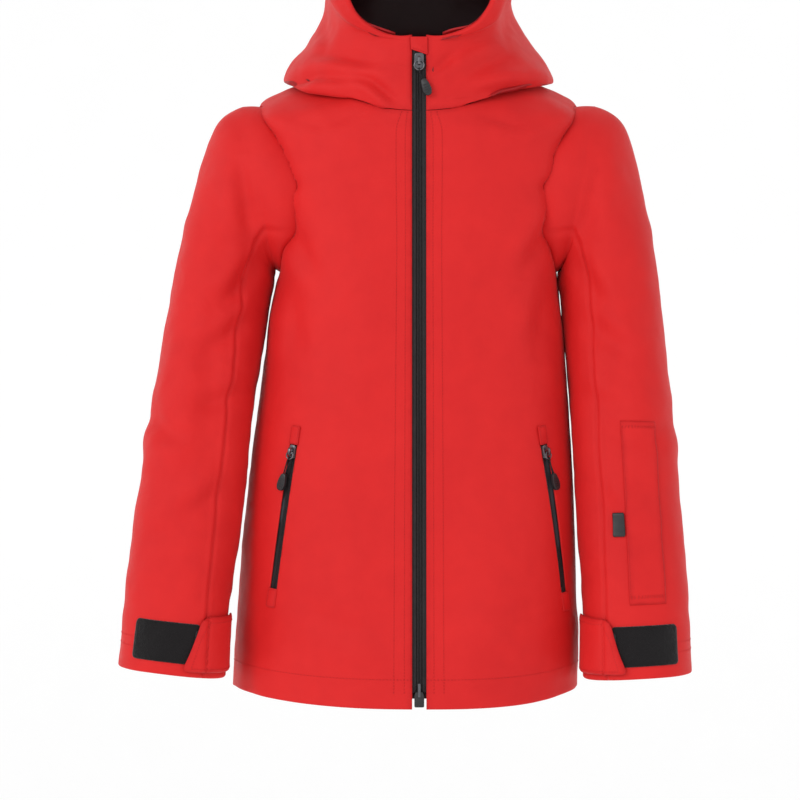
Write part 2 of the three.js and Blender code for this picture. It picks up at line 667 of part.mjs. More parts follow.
function hangerLoop() {
  const band = new THREE.Shape();
  const arc = steps(0, 180, 12).map((d) => THREE.MathUtils.degToRad(d));
  const rise = 15;
  arc.forEach((a, i) => {
    const [x, z] = [LOOP_SPAN * Math.cos(a), LOOP_TOP - rise + rise * Math.sin(a)];
    return i ? band.lineTo(x, z) : band.moveTo(x, z);
  });
  arc.reverse().forEach((a) => {
    const t = 1.5;
    band.lineTo((LOOP_SPAN - t) * Math.cos(a), LOOP_TOP - rise + (rise - t) * Math.sin(a));
  });
  const made = new THREE.ExtrudeGeometry(band, { depth: 7, bevelEnabled: false });
  return made.rotateX(Math.PI / 2).translate(0, LOOP_Y + 3.5, 0);
}

add({
  back: [backPanel(0, FABRIC, 14), RED],
  back_lining: [backPanel(LINING_FROM, LINING_TO, 8), BLACK_CLOTH],
  body_padding: [bodyPadding(...pocketRooms), PADDING],
  hood_centre_panel: [hoodCentrePanel(), RED],
  hood_lining: [hoodLining(), RED_UNDER],
  storm_flap: [mainZip(box(-14.5, 14.5, -11.2, -9.8, 6, 604)), RED_UNDER],
  zip_garage: [mainZip(box(-9.5, 9.5, 0.3, 1.6, MAIN_SLIDER_AT + 8.6, ZIP_TOP + 4)), RED],
  zip_box: [mainZip(box(-3.2, 6.2, -3.2, 0.4, 1, ZIP_BOX_TOP)), METAL],
  zip_pin: [mainZip(box(-6.2, -3.6, -2.8, 0, 1.5, ZIP_BOX_TOP)), METAL],
  hanger_loop: [hangerLoop(), BLACK_CLOTH],
  main_slider: [mainZip(slider(4.7, 1.4, 15).translate(0, 0, MAIN_SLIDER_AT)), METAL],
  ...pullSet("main", 4.6, 9, 9, (g) => mainZip(g.translate(0, 0, MAIN_SLIDER_AT))),
});

root.position.set(0, -LOOP_Y, -LOOP_TOP);
export default root;
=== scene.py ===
# Looks of a child's ski jacket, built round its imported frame. Sizes inside the shaping functions are
# millimetres from the hem (z = 0 at the bottom of the zip); place() turns them into the frame's metres.
import bpy
import bmesh
import math
import numpy as np
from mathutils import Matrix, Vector, noise


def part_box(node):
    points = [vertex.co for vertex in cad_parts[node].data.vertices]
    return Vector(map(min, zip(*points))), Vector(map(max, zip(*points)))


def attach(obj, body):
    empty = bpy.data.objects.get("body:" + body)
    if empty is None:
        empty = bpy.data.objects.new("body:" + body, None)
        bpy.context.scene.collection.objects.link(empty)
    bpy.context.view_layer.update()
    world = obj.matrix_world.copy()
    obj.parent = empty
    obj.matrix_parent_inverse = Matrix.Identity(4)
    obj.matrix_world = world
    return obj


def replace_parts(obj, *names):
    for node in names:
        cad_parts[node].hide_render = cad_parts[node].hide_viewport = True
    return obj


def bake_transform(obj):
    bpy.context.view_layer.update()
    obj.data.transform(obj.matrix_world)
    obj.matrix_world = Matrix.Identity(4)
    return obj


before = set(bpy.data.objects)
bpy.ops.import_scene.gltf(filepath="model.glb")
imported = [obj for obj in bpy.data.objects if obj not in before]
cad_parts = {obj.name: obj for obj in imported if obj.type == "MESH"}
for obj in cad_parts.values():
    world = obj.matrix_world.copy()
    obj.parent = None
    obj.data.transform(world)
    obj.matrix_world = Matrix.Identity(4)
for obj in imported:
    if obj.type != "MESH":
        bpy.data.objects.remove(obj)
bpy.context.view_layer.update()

LOOP_Y, LOOP_TOP = 50.6, 611.0  # the hanger loop is the frame's origin
SHOULDER_X, SHOULDER_Z = 154.5, 492.5
ARMHOLE_RADIUS, ARMHOLE_DEPTH = 79.5, 62.0
LEFT_SWING = math.radians(3.4)
ZIP_LEAN = 0.0537
ZIP_GAP = 6.7
CROWN = 878.0
MAIN_SLIDER_AT = 607.0
SHELL_THICK = 1.2


def place(points):
    """Hem millimetres to the frame's metres."""
    return (np.asarray(points, float) - (0.0, LOOP_Y, LOOP_TOP)) / 1000.0


def zip_y(z):
    return -(113.0 - ZIP_LEAN * z)


def smooth(low, high, value):
    t = np.clip((np.asarray(value, float) - low) / (high - low), 0.0, 1.0)
    return t * t * (3.0 - 2.0 * t)


# ------------------------------------------------------------------ lofts
class Loft:
    """Rings from a front (or inner) point to a back (or outer) point, as the pattern cutter draws them."""

    def __init__(self, rings, side):
        self.rings = np.array(rings, float)
        self.side = np.array(side, float)
        self.last = len(rings) - 1

    def ring(self, u):
        u = np.clip(np.asarray(u, float), 0.0, self.last)
        i = np.clip(np.floor(u).astype(int), 0, self.last - 1)
        t = (u - i)[..., None]
        p, q = self.rings[np.clip(i - 1, 0, self.last)], self.rings[i]
        r, s = self.rings[i + 1], self.rings[np.clip(i + 2, 0, self.last)]
        into, out = (r - p) / 2, (s - q) / 2
        return (
            q * (2 * t**3 - 3 * t**2 + 1) + into * (t**3 - 2 * t**2 + t)
            + r * (3 * t**2 - 2 * t**3) + out * (t**3 - t**2)
        )

    def points(self, u, degrees):
        u, degrees = np.broadcast_arrays(np.asarray(u, float), np.asarray(degrees, float))
        r = self.ring(u)
        turn = np.radians(degrees)
        power = 2.0 / r[..., 7]
        along = np.sign(np.sin(turn)) * np.abs(np.sin(turn)) ** power
        across = np.sign(np.cos(turn)) * np.abs(np.cos(turn)) ** power
        a, b = r[..., 0:3], r[..., 3:6]
        out = (a + b) / 2 + (b - a) / 2 * along[..., None]
        out = out + self.side * (r[..., 6] * across)[..., None]
        out[..., 2] += r[..., 8] * (1 - along**2)
        out[..., 0] += r[..., 9] / 2 * (1 - along**2)
        return out

    def middle(self, u):
        r = self.ring(u)
        return (r[..., 0:3] + r[..., 3:6]) / 2


def body_ring(front_z, back_y, back_z, w, n, side_z, shift=0.0):
    lift = side_z - (front_z + back_z) / 2
    return [0, zip_y(front_z), front_z, shift, back_y, back_z, w, n, lift, shift]


def arm_ring(ix, iz, ox, oz, forward, w, n):
    return [-ix, -forward, iz, -ox, -forward, oz, w, n, 0, 0]


BODY = Loft([
    body_ring(0, 118, -12, 165, 2.6, 12, -14),
    body_ring(100, 116, 95, 163, 2.6, 105, -12),
    body_ring(200, 113, 198, 158, 2.7, 202, -9),
    body_ring(300, 110, 300, 148, 2.8, 301, -5),
    body_ring(392, 106, 398, 137, 3.0, 397, -2),
    body_ring(440, 103, 450, 134, 3.1, 449),
    body_ring(485, 100, 500, 144, 3.1, 504),
    body_ring(518, 95, 542, 152, 3.0, 548),
    body_ring(536, 90, 568, 157, 2.9, 566),
    body_ring(545, 84, 582, 150, 2.8, 576),
    body_ring(553, 74, 594, 118, 2.5, 589),
    body_ring(560, 62, 603, 84, 2.3, 602),
], (1, 0, 0))
HOOD = Loft([
    body_ring(560.5, 62, 603.5, 84, 2.3, 602.5),
    body_ring(566, 84, 603, 112, 2.2, 597),
    body_ring(576, 104, 612, 131, 2.2, 596),
    body_ring(592, 116, 640, 124, 2.3, 615),
    body_ring(606, 121, 676, 104, 2.3, 641),
    body_ring(616, 122, 712, 92, 2.3, 665),
    body_ring(623, 119, 756, 90, 2.4, 691),
    body_ring(626, 108, 806, 93, 2.5, 716),
    body_ring(627, 82, CROWN - 32, 96, 2.7, 737),
    body_ring(627.6, 40, CROWN - 8, 96, 2.9, 749),
    body_ring(628.2, -8, CROWN, 93, 3.0, 753),
    body_ring(628.8, -52, CROWN - 7, 87, 3.1, 750),
    body_ring(629.4, -92, CROWN - 26, 80, 3.2, 741),
], (1, 0, 0))
ARM = Loft([
    arm_ring(124, 419.2, 154, 571.6, 0, 60.4, 2),
    arm_ring(139.2, 414.6, 169.8, 570, 0, 61.4, 2),
    arm_ring(141, 409, 189, 561, 0, 60, 2),
    arm_ring(143, 403, 202, 540, 1, 58, 2),
    arm_ring(146, 393, 214, 503, 2, 57, 2.05),
    arm_ring(149, 378, 228, 451, 5, 57, 2.1),
    arm_ring(152, 354, 238, 402, 9, 57, 2.2),
    arm_ring(159, 306, 253, 308, 20, 56, 2.4),
    arm_ring(168, 218, 264, 226, 34, 55, 2.4),
    arm_ring(177, 126, 275, 136, 46, 54, 2.5),
    arm_ring(184, 26, 286, 38, 58, 53, 2.5),
], (0, -1, 0))
FRONT, SIDE_SEAM = -90.0, 12.0


# ------------------------------------------------------------------ sheets of cloth as grids
def even(points, values, count):
    """Resamples a line of points, and the values that go with them, to even steps along it."""
    length = np.concatenate([[0], np.cumsum(np.linalg.norm(np.diff(points, axis=0), axis=1))])
    return np.interp(np.linspace(0, length[-1], count), length, values)


def zip_edge(loft, u, side, gap=ZIP_GAP):
    """The angle at which a ring meets the edge of the zip's gap."""
    r = loft.ring(u)
    lean = np.arccos(np.clip((gap / r[..., 6]) ** (r[..., 7] / 2), 0, 1))
    return FRONT + side * (90 - np.degrees(lean))


def cut_panel(loft, rows, first, last, columns):
    """Angles of a panel's columns on each row, evenly spaced over the cloth."""
    out = []
    for k, u in enumerate(rows):
        dense = np.linspace(first[k], last[k], 240)
        out.append(even(loft.points(u, dense), dense, columns))
    return np.array(out)


def normals_of(grid, centre):
    """Outward normals of a grid of points, away from the centre of each row."""
    down = np.gradient(grid, axis=0)
    across = np.gradient(grid, axis=1)
    n = np.cross(across, down)
    size = np.linalg.norm(n, axis=2, keepdims=True)
    n = n / np.maximum(size, 1e-9)
    if np.sum(n * (grid - centre)) < 0:
        n = -n
    return n


def wander(points, size, seed, stretch=(1, 1, 1)):
    """Smooth noise from -1 to 1 at each point, with waves about `size` millimetres long."""
    flat = points.reshape(-1, 3) / (size * np.array(stretch)) + seed * 17.31
    values = [noise.noise(Vector(p)) for p in flat]
    return np.array(values).reshape(points.shape[:-1])


def crease(points, line, depth, width, front=True, ridge=0.7):
    """A fold pressed along a line drawn on the front (or back) in x and z: a groove with a ridge below."""
    line = np.asarray(line, float)
    x, z = points[..., 0], points[..., 2]
    best = np.full(x.shape, 1e9)
    signed = np.zeros(x.shape)
    ends = np.ones(x.shape)
    total = np.sum(np.linalg.norm(np.diff(line, axis=0), axis=1))
    run = 0.0
    for a, b in zip(line[:-1], line[1:]):
        d = b - a
        size = np.linalg.norm(d)
        t = ((x - a[0]) * d[0] + (z - a[1]) * d[1]) / size**2
        c = np.clip(t, 0, 1)
        dx, dz = x - a[0] - c * d[0], z - a[1] - c * d[1]
        away = np.hypot(dx, dz)
        cross = (d[0] * dz - d[1] * dx) / size
        nearer = away < best
        best = np.where(nearer, away, best)
        signed = np.where(nearer, np.sign(cross) * away, signed)
        along = (run + c * size) / total
        ends = np.where(nearer, np.sin(math.pi * np.clip(along, 0.02, 0.98)) ** 0.7, ends)
        run += size
    groove = -np.exp(-((signed / width) ** 2))
    hill = ridge * np.exp(-(((signed + 1.7 * width) / (1.2 * width)) ** 2))
    reach = np.exp(-np.maximum(best - 4 * width, 0) / width)
    facing = smooth(20, -20, points[..., 1]) if front else smooth(-20, 20, points[..., 1])
    return depth * (groove + hill) * ends * reach * facing


NEAR_SIDE = 100.0  # the armhole is cut only this far out from the middle
POCKET_TOP, POCKET_BOTTOM = (118.0, 248.0), (138.0, 106.0)


def pocket_distance(p):
    """How far each point is from the nearer hand pocket's line, seen from the front."""
    x, z = np.abs(p[..., 0]), p[..., 2]
    dx, dz = POCKET_BOTTOM[0] - POCKET_TOP[0], POCKET_BOTTOM[1] - POCKET_TOP[1]
    t = np.clip(((x - POCKET_TOP[0]) * dx + (z - POCKET_TOP[1]) * dz) / (dx * dx + dz * dz), 0, 1)
    away = np.hypot(x - POCKET_TOP[0] - t * dx, z - POCKET_TOP[1] - t * dz)
    return np.where(p[..., 1] < 20, away, 99.0)


def body_folds(p, soft=1.35):
    """How far the body's cloth stands off its pattern shape."""
    x, y, z = p[..., 0], p[..., 1], p[..., 2]
    low = smooth(420, 60, z)
    d = 3.4 * wander(p, 90, 1, (1, 1, 2.4)) * (0.45 + low)
    d += 1.5 * wander(p, 36, 2, (1, 1, 1.7))
    d += 0.5 * wander(p, 15, 3)
    away = smooth(8, 60, np.abs(x))
    for s in (-1, 1):
        d += crease(p, [(s * 138, 470), (s * 118, 440), (s * 96, 400)], 3.4 * soft, 9)
        d += crease(p, [(s * 142, 505), (s * 128, 492), (s * 112, 486)], 2.6 * soft, 7)
        d += crease(p, [(s * 136, 420), (s * 120, 372), (s * 112, 320)], 2.6 * soft, 12)
        d += crease(p, [(s * 60, 556), (s * 92, 548), (s * 126, 552)], 2.0 * soft, 7)
        d += crease(p, [(s * 120, 470), (s * 90, 430), (s * 70, 380)], 3.0 * soft, 12, front=False)
    d += crease(p, [(-110, 92), (-60, 70), (-25, 66)], 1.6 * soft, 12)
    d += crease(p, [(118, 84), (70, 58), (30, 50)], 1.6 * soft, 12)
    calm = pocket_distance(p)
    d = d * away * smooth(0, 14, z + 8) * (0.15 + 0.85 * smooth(12, 40, calm))
    f = np.sqrt((y / ARMHOLE_DEPTH) ** 2 + ((z - SHOULDER_Z) / ARMHOLE_RADIUS) ** 2)
    return d - np.where(np.abs(x) > NEAR_SIDE, 2.6 * np.exp(-(((f - 1.0) / 0.09) ** 2)), 0)


def hood_folds(p, soft=1.0):
    x, y = p[..., 0], p[..., 1]
    d = 3.0 * wander(p, 56, 5) + 1.3 * wander(p, 25, 6) + 0.4 * wander(p, 12, 7)
    d = d * smooth(6, 40, np.abs(x) + np.maximum(y + 40, 0))
    d += crease(p, [(-134, 590), (-100, 597), (-62, 593)], 6.5 * soft, 6.5)
    d += crease(p, [(-64, 596), (-44, 588), (-20, 567)], 5.0 * soft, 5)
    d += crease(p, [(134, 586), (92, 582), (50, 574)], 7.0 * soft, 7)
    d += crease(p, [(10, 594), (24, 606), (38, 618)], 3.2 * soft, 5)
    d += crease(p, [(-110, 626), (-88, 618), (-60, 612), (-30, 606)], 4.2 * soft, 8)
    d += crease(p, [(98, 632), (84, 616), (60, 604), (40, 592)], 4.0 * soft, 8)
    d += crease(p, [(-96, 668), (-92, 640), (-84, 622)], 3.0 * soft, 7)
    d += crease(p, [(86, 668), (84, 642), (78, 622)], 3.0 * soft, 7)
    d += crease(p, [(-110, 628), (-40, 640), (40, 640), (110, 628)], 4.0 * soft, 10, front=False)
    d += crease(p, [(-90, 600), (0, 612), (90, 600)], 3.0 * soft, 8, front=False)
    return d


def arm_folds(p, soft=1.3):
    """Folds of the right sleeve; the left one is its mirror with another run of noise."""
    z = p[..., 2]
    d = 3.2 * wander(p, 64, 9, (1, 1, 2.0)) + 1.5 * wander(p, 28, 10) + 0.4 * wander(p, 13, 11)
    d = d * smooth(0, 14, z - 26)
    d += crease(p, [(-170, 522), (-166, 482), (-160, 440)], 3.2 * soft, 8)
    d += crease(p, [(-150, 430), (-168, 398), (-190, 372)], 4.6 * soft, 9)
    d += crease(p, [(-156, 372), (-182, 346), (-206, 332)], 3.6 * soft, 9)
    d += crease(p, [(-162, 300), (-186, 286), (-214, 282)], 3.4 * soft, 9)
    d += crease(p, [(-258, 276), (-236, 256), (-214, 250)], 3.2 * soft, 10)
    d += crease(p, [(-176, 214), (-200, 190), (-226, 176)], 2.8 * soft, 10)
    d += crease(p, [(-200, 360), (-196, 290), (-204, 220)], 2.4 * soft, 12)
    d += crease(p, [(-160, 430), (-186, 396), (-214, 372)], 4.0 * soft, 10, front=False)
    d += crease(p, [(-168, 330), (-196, 300), (-230, 286)], 3.6 * soft, 10, front=False)
    d += crease(p, [(-178, 230), (-206, 212), (-238, 206)], 3.0 * soft, 10, front=False)
    return d


class Grid:
    """A sheet of cloth as rows and columns of points, with its outward normals."""

    def __init__(self, points, normals):
        self.p, self.n = points, normals

    def at(self, i, j, lift=0.0):
        """Points on the sheet at fractional rows i and columns j."""
        i = np.clip(np.asarray(i, float), 0, self.p.shape[0] - 1.001)
        j = np.clip(np.asarray(j, float), 0, self.p.shape[1] - 1.001)
        i, j = np.broadcast_arrays(i, j)
        a, b = i.astype(int), j.astype(int)
        s, t = (i - a)[..., None], (j - b)[..., None]

        def mix(g):
            return ((1 - s) * (1 - t) * g[a, b] + s * (1 - t) * g[a + 1, b]
                    + (1 - s) * t * g[a, b + 1] + s * t * g[a + 1, b + 1])

        n = mix(self.n)
        n = n / np.linalg.norm(n, axis=-1, keepdims=True)
        return mix(self.p) + n * lift, n


# ------------------------------------------------------------------ meshes
class Shape:
    """Loose vertices, faces, UVs in metres and an edge mask, gathered from several pieces."""

    def __init__(self):
        self.v, self.f, self.uv, self.edge, self.mat = [], [], [], [], []
        self.count = 0

    def add(self, verts, faces, uv=None, edge=None, material=0):
        verts = np.asarray(verts, float).reshape(-1, 3)
        self.v.append(verts)
        self.f += [tuple(int(k) + self.count for k in f) for f in faces]
        self.mat += [material] * len(faces)
        self.uv.append(np.asarray(uv, float).reshape(-1, 2) if uv is not None else verts[:, [0, 2]] / 1000)
        self.edge.append(np.zeros(len(verts)) if edge is None else np.asarray(edge, float).ravel())
        self.count += len(verts)
        return self

    def build(self, name, materials, sharp=None, in_metres=False):
        points = np.concatenate(self.v)
        points = points if in_metres else place(points)
        mesh = bpy.data.meshes.new(name)
        mesh.from_pydata(points.tolist(), [], self.f)
        mesh.update()
        layer = mesh.uv_layers.new(name="UVMap")
        loops = np.zeros(len(mesh.loops), int)
        mesh.loops.foreach_get("vertex_index", loops)
        layer.data.foreach_set("uv", np.concatenate(self.uv)[loops].ravel())
        wear = mesh.attributes.new("edge", "FLOAT", "POINT")
        wear.data.foreach_set("value", np.concatenate(self.edge))
        for m in materials:
            mesh.materials.append(m)
        mesh.polygons.foreach_set("material_index", self.mat)
        o = bpy.data.objects.new(name, mesh)
        bpy.context.scene.collection.objects.link(o)
        mesh.shade_smooth()
        if sharp:
            bpy.ops.object.select_all(action="DESELECT")
            bpy.context.view_layer.objects.active = o
            o.select_set(True)
            bpy.ops.object.shade_smooth_by_angle(angle=math.radians(sharp))
            o.select_set(False)
        return o


def grid_faces(rows, columns, closed=False, flip=False):
    """Quads of a grid of points, the last column joined to the first when it is closed."""
    faces = []
    wide = columns if closed else columns - 1
    for i in range(rows - 1):
        for j in range(wide):
            k = (j + 1) % columns
            q = (i * columns + j, i * columns + k, (i + 1) * columns + k, (i + 1) * columns + j)
            faces.append(q[::-1] if flip else q)
    return faces


def cloth_uv(p):
    """Distances along the cloth, in metres: across from the middle column and down from the first row."""
    steps_across = np.linalg.norm(np.diff(p, axis=1), axis=2)
    across = np.concatenate([np.zeros((p.shape[0], 1)), np.cumsum(steps_across, axis=1)], 1)
    across = across - across[:, across.shape[1] // 2][:, None]
    steps_down = np.linalg.norm(np.diff(p, axis=0), axis=2)
    down = np.concatenate([np.zeros((1, p.shape[1])), np.cumsum(steps_down, axis=0)], 0)
    return np.stack([across, down], axis=2) / 1000


def edge_mask(p, reach=6.0):
    """One at the edges of the cloth, falling to nothing `reach` millimetres in."""
    uv = cloth_uv(p) * 1000
    a, d = uv[..., 0], uv[..., 1]
    gap = np.minimum(np.minimum(a - a[:, :1], a[:, -1:] - a), np.minimum(d, d[-1:] - d))
    return np.clip(1 - gap / reach, 0, 1)


def sheet_solid(shape, p, n, thick, closed=False, material=0, inner=None, reach=6.0):
    """Adds a sheet of cloth with both its faces and its cut edges; n points out of the top face."""
    rows, columns = p.shape[:2]
    under = p - n * thick
    uv, edge = cloth_uv(p), edge_mask(p, reach)
    flip = grid_turns_in(p, n)
    verts = np.concatenate([p.reshape(-1, 3), under.reshape(-1, 3)])
    size = rows * columns
    faces = grid_faces(rows, columns, closed, flip)
    back = [tuple(k + size for k in f[::-1]) for f in faces]
    rim = []

    def strip(line):
        for a, b in zip(line[:-1], line[1:]):
            rim.append((a, b, b + size, a + size) if flip else (b, a, a + size, b + size))

    first = [j for j in range(columns)] + ([0] if closed else [])
    strip(first)
    strip([(rows - 1) * columns + j for j in first][::-1])
    if not closed:
        strip([i * columns + columns - 1 for i in range(rows)])
        strip([i * columns for i in range(rows)][::-1])
    both_uv = np.concatenate([uv.reshape(-1, 2)] * 2)
    both_edge = np.concatenate([edge.ravel()] * 2)
    start = shape.count
    shape.add(verts, faces + rim, both_uv, both_edge, material)
    shape.f += [tuple(k + start for k in f) for f in back]
    shape.mat += [material if inner is None else inner] * len(back)
    return shape


def grid_turns_in(p, n):
    """True when the plain order of a grid's quads faces against its normals."""
    a = p[1:, :-1] - p[:-1, :-1]
    b = p[:-1, 1:] - p[:-1, :-1]
    return float(np.sum(np.cross(b, a) * n[:-1, :-1])) < 0


def tube(points, radius, sides=10, closed=False):
    """A round cord along a line of points; radius may vary along it."""
    p = np.asarray(points, float)
    r = np.broadcast_to(np.asarray(radius, float), (len(p),))
    t = np.gradient(p, axis=0) if not closed else np.roll(p, -1, 0) - np.roll(p, 1, 0)
    t = t / np.linalg.norm(t, axis=1, keepdims=True)
    up = np.array([0, 0, 1.0]) if abs(t[0][2]) < 0.9 else np.array([0, 1.0, 0])
    side = np.cross(t[0], up)
    side /= np.linalg.norm(side)
    rings = []
    for k in range(len(p)):
        side = side - t[k] * np.dot(side, t[k])
        side /= np.linalg.norm(side)
        other = np.cross(t[k], side)
        a = np.linspace(0, 2 * math.pi, sides, endpoint=False)
        x, y = np.cos(a) * r[k], np.sin(a) * r[k]
        rings.append(p[k] + np.outer(x, side) + np.outer(y, other))
    verts = np.concatenate(rings)
    faces = []
    total = len(p)
    for k in range(total if closed else total - 1):
        m = (k + 1) % total
        for s in range(sides):
            q = (s + 1) % sides
            faces.append((k * sides + s, k * sides + q, m * sides + q, m * sides + s))
    if not closed:
        faces.append(tuple(range(sides))[::-1])
        faces.append(tuple((total - 1) * sides + s for s in range(sides)))
    return verts, faces


def stitch(shape, a, b, out, width=0.55, rise=0.32, sink=0.15, material=0):
    """One stitch: a short thread that dips into the cloth at both its ends."""
    a, b, out = (np.asarray(v, float) for v in (a, b, out))
    run = b - a
    side = np.cross(run, out)
    side = side / max(np.linalg.norm(side), 1e-9) * width / 2
    verts, faces = [], []
    for k, (t, h, w) in enumerate([(0, -sink, 0.6), (0.22, rise, 1), (0.78, rise, 1), (1, -sink, 0.6)]):
        c = a + run * t + out * h
        verts += [c - side * w - out * 0.25, c - side * w, c + side * w, c + side * w - out * 0.25]
    for k in range(3):
        i = 4 * k
        for s in range(4):
            q = (s + 1) % 4
            faces.append((i + s, i + 4 + s, i + 4 + q, i + q))
    faces += [(0, 1, 2, 3), (15, 14, 13, 12)]
    shape.add(verts, faces, material=material)


def stitch_line(shape, points, outs, pitch=3.0, share=0.68, **how):
    """Even stitches along a line of points that lies on the cloth."""
    p, outs = np.asarray(points, float), np.asarray(outs, float)
    run = np.concatenate([[0], np.cumsum(np.linalg.norm(np.diff(p, axis=0), axis=1))])
    count = max(1, int(run[-1] / pitch))
    for k in range(count):
        ends = np.array([k, k + share]) * run[-1] / count
        a, b = (np.array([np.interp(e, run, p[:, c]) for c in range(3)]) for e in ends)
        o = np.array([np.interp(ends.mean(), run, outs[:, c]) for c in range(3)])
        stitch(shape, a, b, o / np.linalg.norm(o), **how)


# ------------------------------------------------------------------ materials
def socket(group, name, kind, way):
    return group.interface.new_socket(name=name, socket_type=kind, in_out=way)


def link(tree, a, b):
    tree.links.new(a, b)


def maths(tree, operation, a, b):
    node = tree.nodes.new("ShaderNodeMath")
    node.operation = operation
    for k, v in enumerate((a, b)):
        if hasattr(v, "is_linked"):
            link(tree, v, node.inputs[k])
        else:
            node.inputs[k].default_value = v
    return node.outputs[0]


def weave_group():
    """Two sets of threads crossing over and under, from UVs in metres."""
    g = bpy.data.node_groups.new("weave", "ShaderNodeTree")
    socket(g, "Threads", "NodeSocketFloat", "INPUT")
    socket(g, "Height", "NodeSocketFloat", "OUTPUT")
    entry, end = g.nodes.new("NodeGroupInput"), g.nodes.new("NodeGroupOutput")
    uv = g.nodes.new("ShaderNodeTexCoord")
    split = g.nodes.new("ShaderNodeSeparateXYZ")
    link(g, uv.outputs["UV"], split.inputs[0])
    u = maths(g, "MULTIPLY", split.outputs[0], entry.outputs["Threads"])
    v = maths(g, "MULTIPLY", split.outputs[1], entry.outputs["Threads"])
    su, sv = maths(g, "SINE", u, 0), maths(g, "SINE", v, 0)
    over = maths(g, "MULTIPLY", su, sv)
    both = maths(g, "ADD", maths(g, "ABSOLUTE", su, 0), maths(g, "ABSOLUTE", sv, 0))
    link(g, maths(g, "ADD", maths(g, "MULTIPLY", over, 0.5), both), end.inputs["Height"])
    return g


def mottle_group():
    """Slow and quick unevenness of a dyed cloth, from the object's own place."""
    g = bpy.data.node_groups.new("mottle", "ShaderNodeTree")
    socket(g, "Mask", "NodeSocketFloat", "OUTPUT")
    socket(g, "Grain", "NodeSocketFloat", "OUTPUT")
    end = g.nodes.new("NodeGroupOutput")
    place_of = g.nodes.new("ShaderNodeTexCoord")
    slow, quick, grain = (g.nodes.new("ShaderNodeTexNoise") for _ in range(3))
    for node, size, detail in ((slow, 9.0, 3.0), (quick, 55.0, 4.0), (grain, 900.0, 2.0)):
        node.inputs["Scale"].default_value = size
        node.inputs["Detail"].default_value = detail
        link(g, place_of.outputs["Object"], node.inputs["Vector"])
    broad, fine = (maths(g, "MULTIPLY", n.outputs[0], share) for n, share in ((slow, 0.6), (quick, 0.4)))
    total = maths(g, "ADD", broad, fine)
    link(g, total, end.inputs["Mask"])
    link(g, grain.outputs[0], end.inputs["Grain"])
    return g


def wear_group():
    """Where handling shows: along edges and seams, broken up by grain."""
    g = bpy.data.node_groups.new("edge_wear", "ShaderNodeTree")
    socket(g, "Mask", "NodeSocketFloat", "OUTPUT")
    end = g.nodes.new("NodeGroupOutput")
    edge = g.nodes.new("ShaderNodeAttribute")
    edge.attribute_name = "edge"
    speck = g.nodes.new("ShaderNodeTexNoise")
    speck.inputs["Scale"].default_value = 140
    where = g.nodes.new("ShaderNodeTexCoord")
    link(g, where.outputs["Object"], speck.inputs["Vector"])
    link(g, maths(g, "MULTIPLY", edge.outputs["Fac"], speck.outputs[0]), end.inputs["Mask"])
    return g


WEAVE, MOTTLE, WEAR = weave_group(), mottle_group(), wear_group()


def linear(r, g, b):
    def one(c):
        c /= 255
        return c / 12.92 if c <= 0.04045 else ((c + 0.055) / 1.055) ** 2.4

    return (one(r), one(g), one(b), 1)


def cloth_material(name, dark, light, threads, rough, bump, sheen=0.0, specular=0.3, worn=None, pile=0.0):
    """Woven cloth: thread height for the bump, mottled dye, and edges rubbed towards `worn`."""
    m = bpy.data.materials.new(name)
    m.use_nodes = True
    t = m.node_tree
    shader = next(n for n in t.nodes if n.type == "BSDF_PRINCIPLED")
    groups = []
    for g in (WEAVE, MOTTLE, WEAR):
        node = t.nodes.new("ShaderNodeGroup")
        node.node_tree = g
        groups.append(node)
    weave, mottle, wear = groups
    weave.inputs["Threads"].default_value = threads
    mix = t.nodes.new("ShaderNodeMix")
    mix.data_type = "RGBA"
    mix.inputs[6].default_value, mix.inputs[7].default_value = dark, light
    link(t, mottle.outputs["Mask"], mix.inputs[0])
    rub = t.nodes.new("ShaderNodeMix")
    rub.data_type = "RGBA"
    link(t, mix.outputs[2], rub.inputs[6])
    rub.inputs[7].default_value = worn or dark
    link(t, wear.outputs["Mask"], rub.inputs[0])
    link(t, rub.outputs[2], shader.inputs["Base Color"])
    gloss = maths(t, "MULTIPLY", mottle.outputs["Grain"], 0.16)
    link(t, maths(t, "ADD", gloss, rough - 0.08), shader.inputs["Roughness"])
    height = maths(t, "ADD", weave.outputs["Height"], maths(t, "MULTIPLY", mottle.outputs["Grain"], pile))
    bumps = t.nodes.new("ShaderNodeBump")
    bumps.inputs["Strength"].default_value = bump
    bumps.inputs["Distance"].default_value = 0.00012
    link(t, height, bumps.inputs["Height"])
    link(t, bumps.outputs[0], shader.inputs["Normal"])
    shader.inputs["Sheen Weight"].default_value = sheen
    shader.inputs["Sheen Roughness"].default_value = 0.4
    shader.inputs["Specular IOR Level"].default_value = specular
    return m


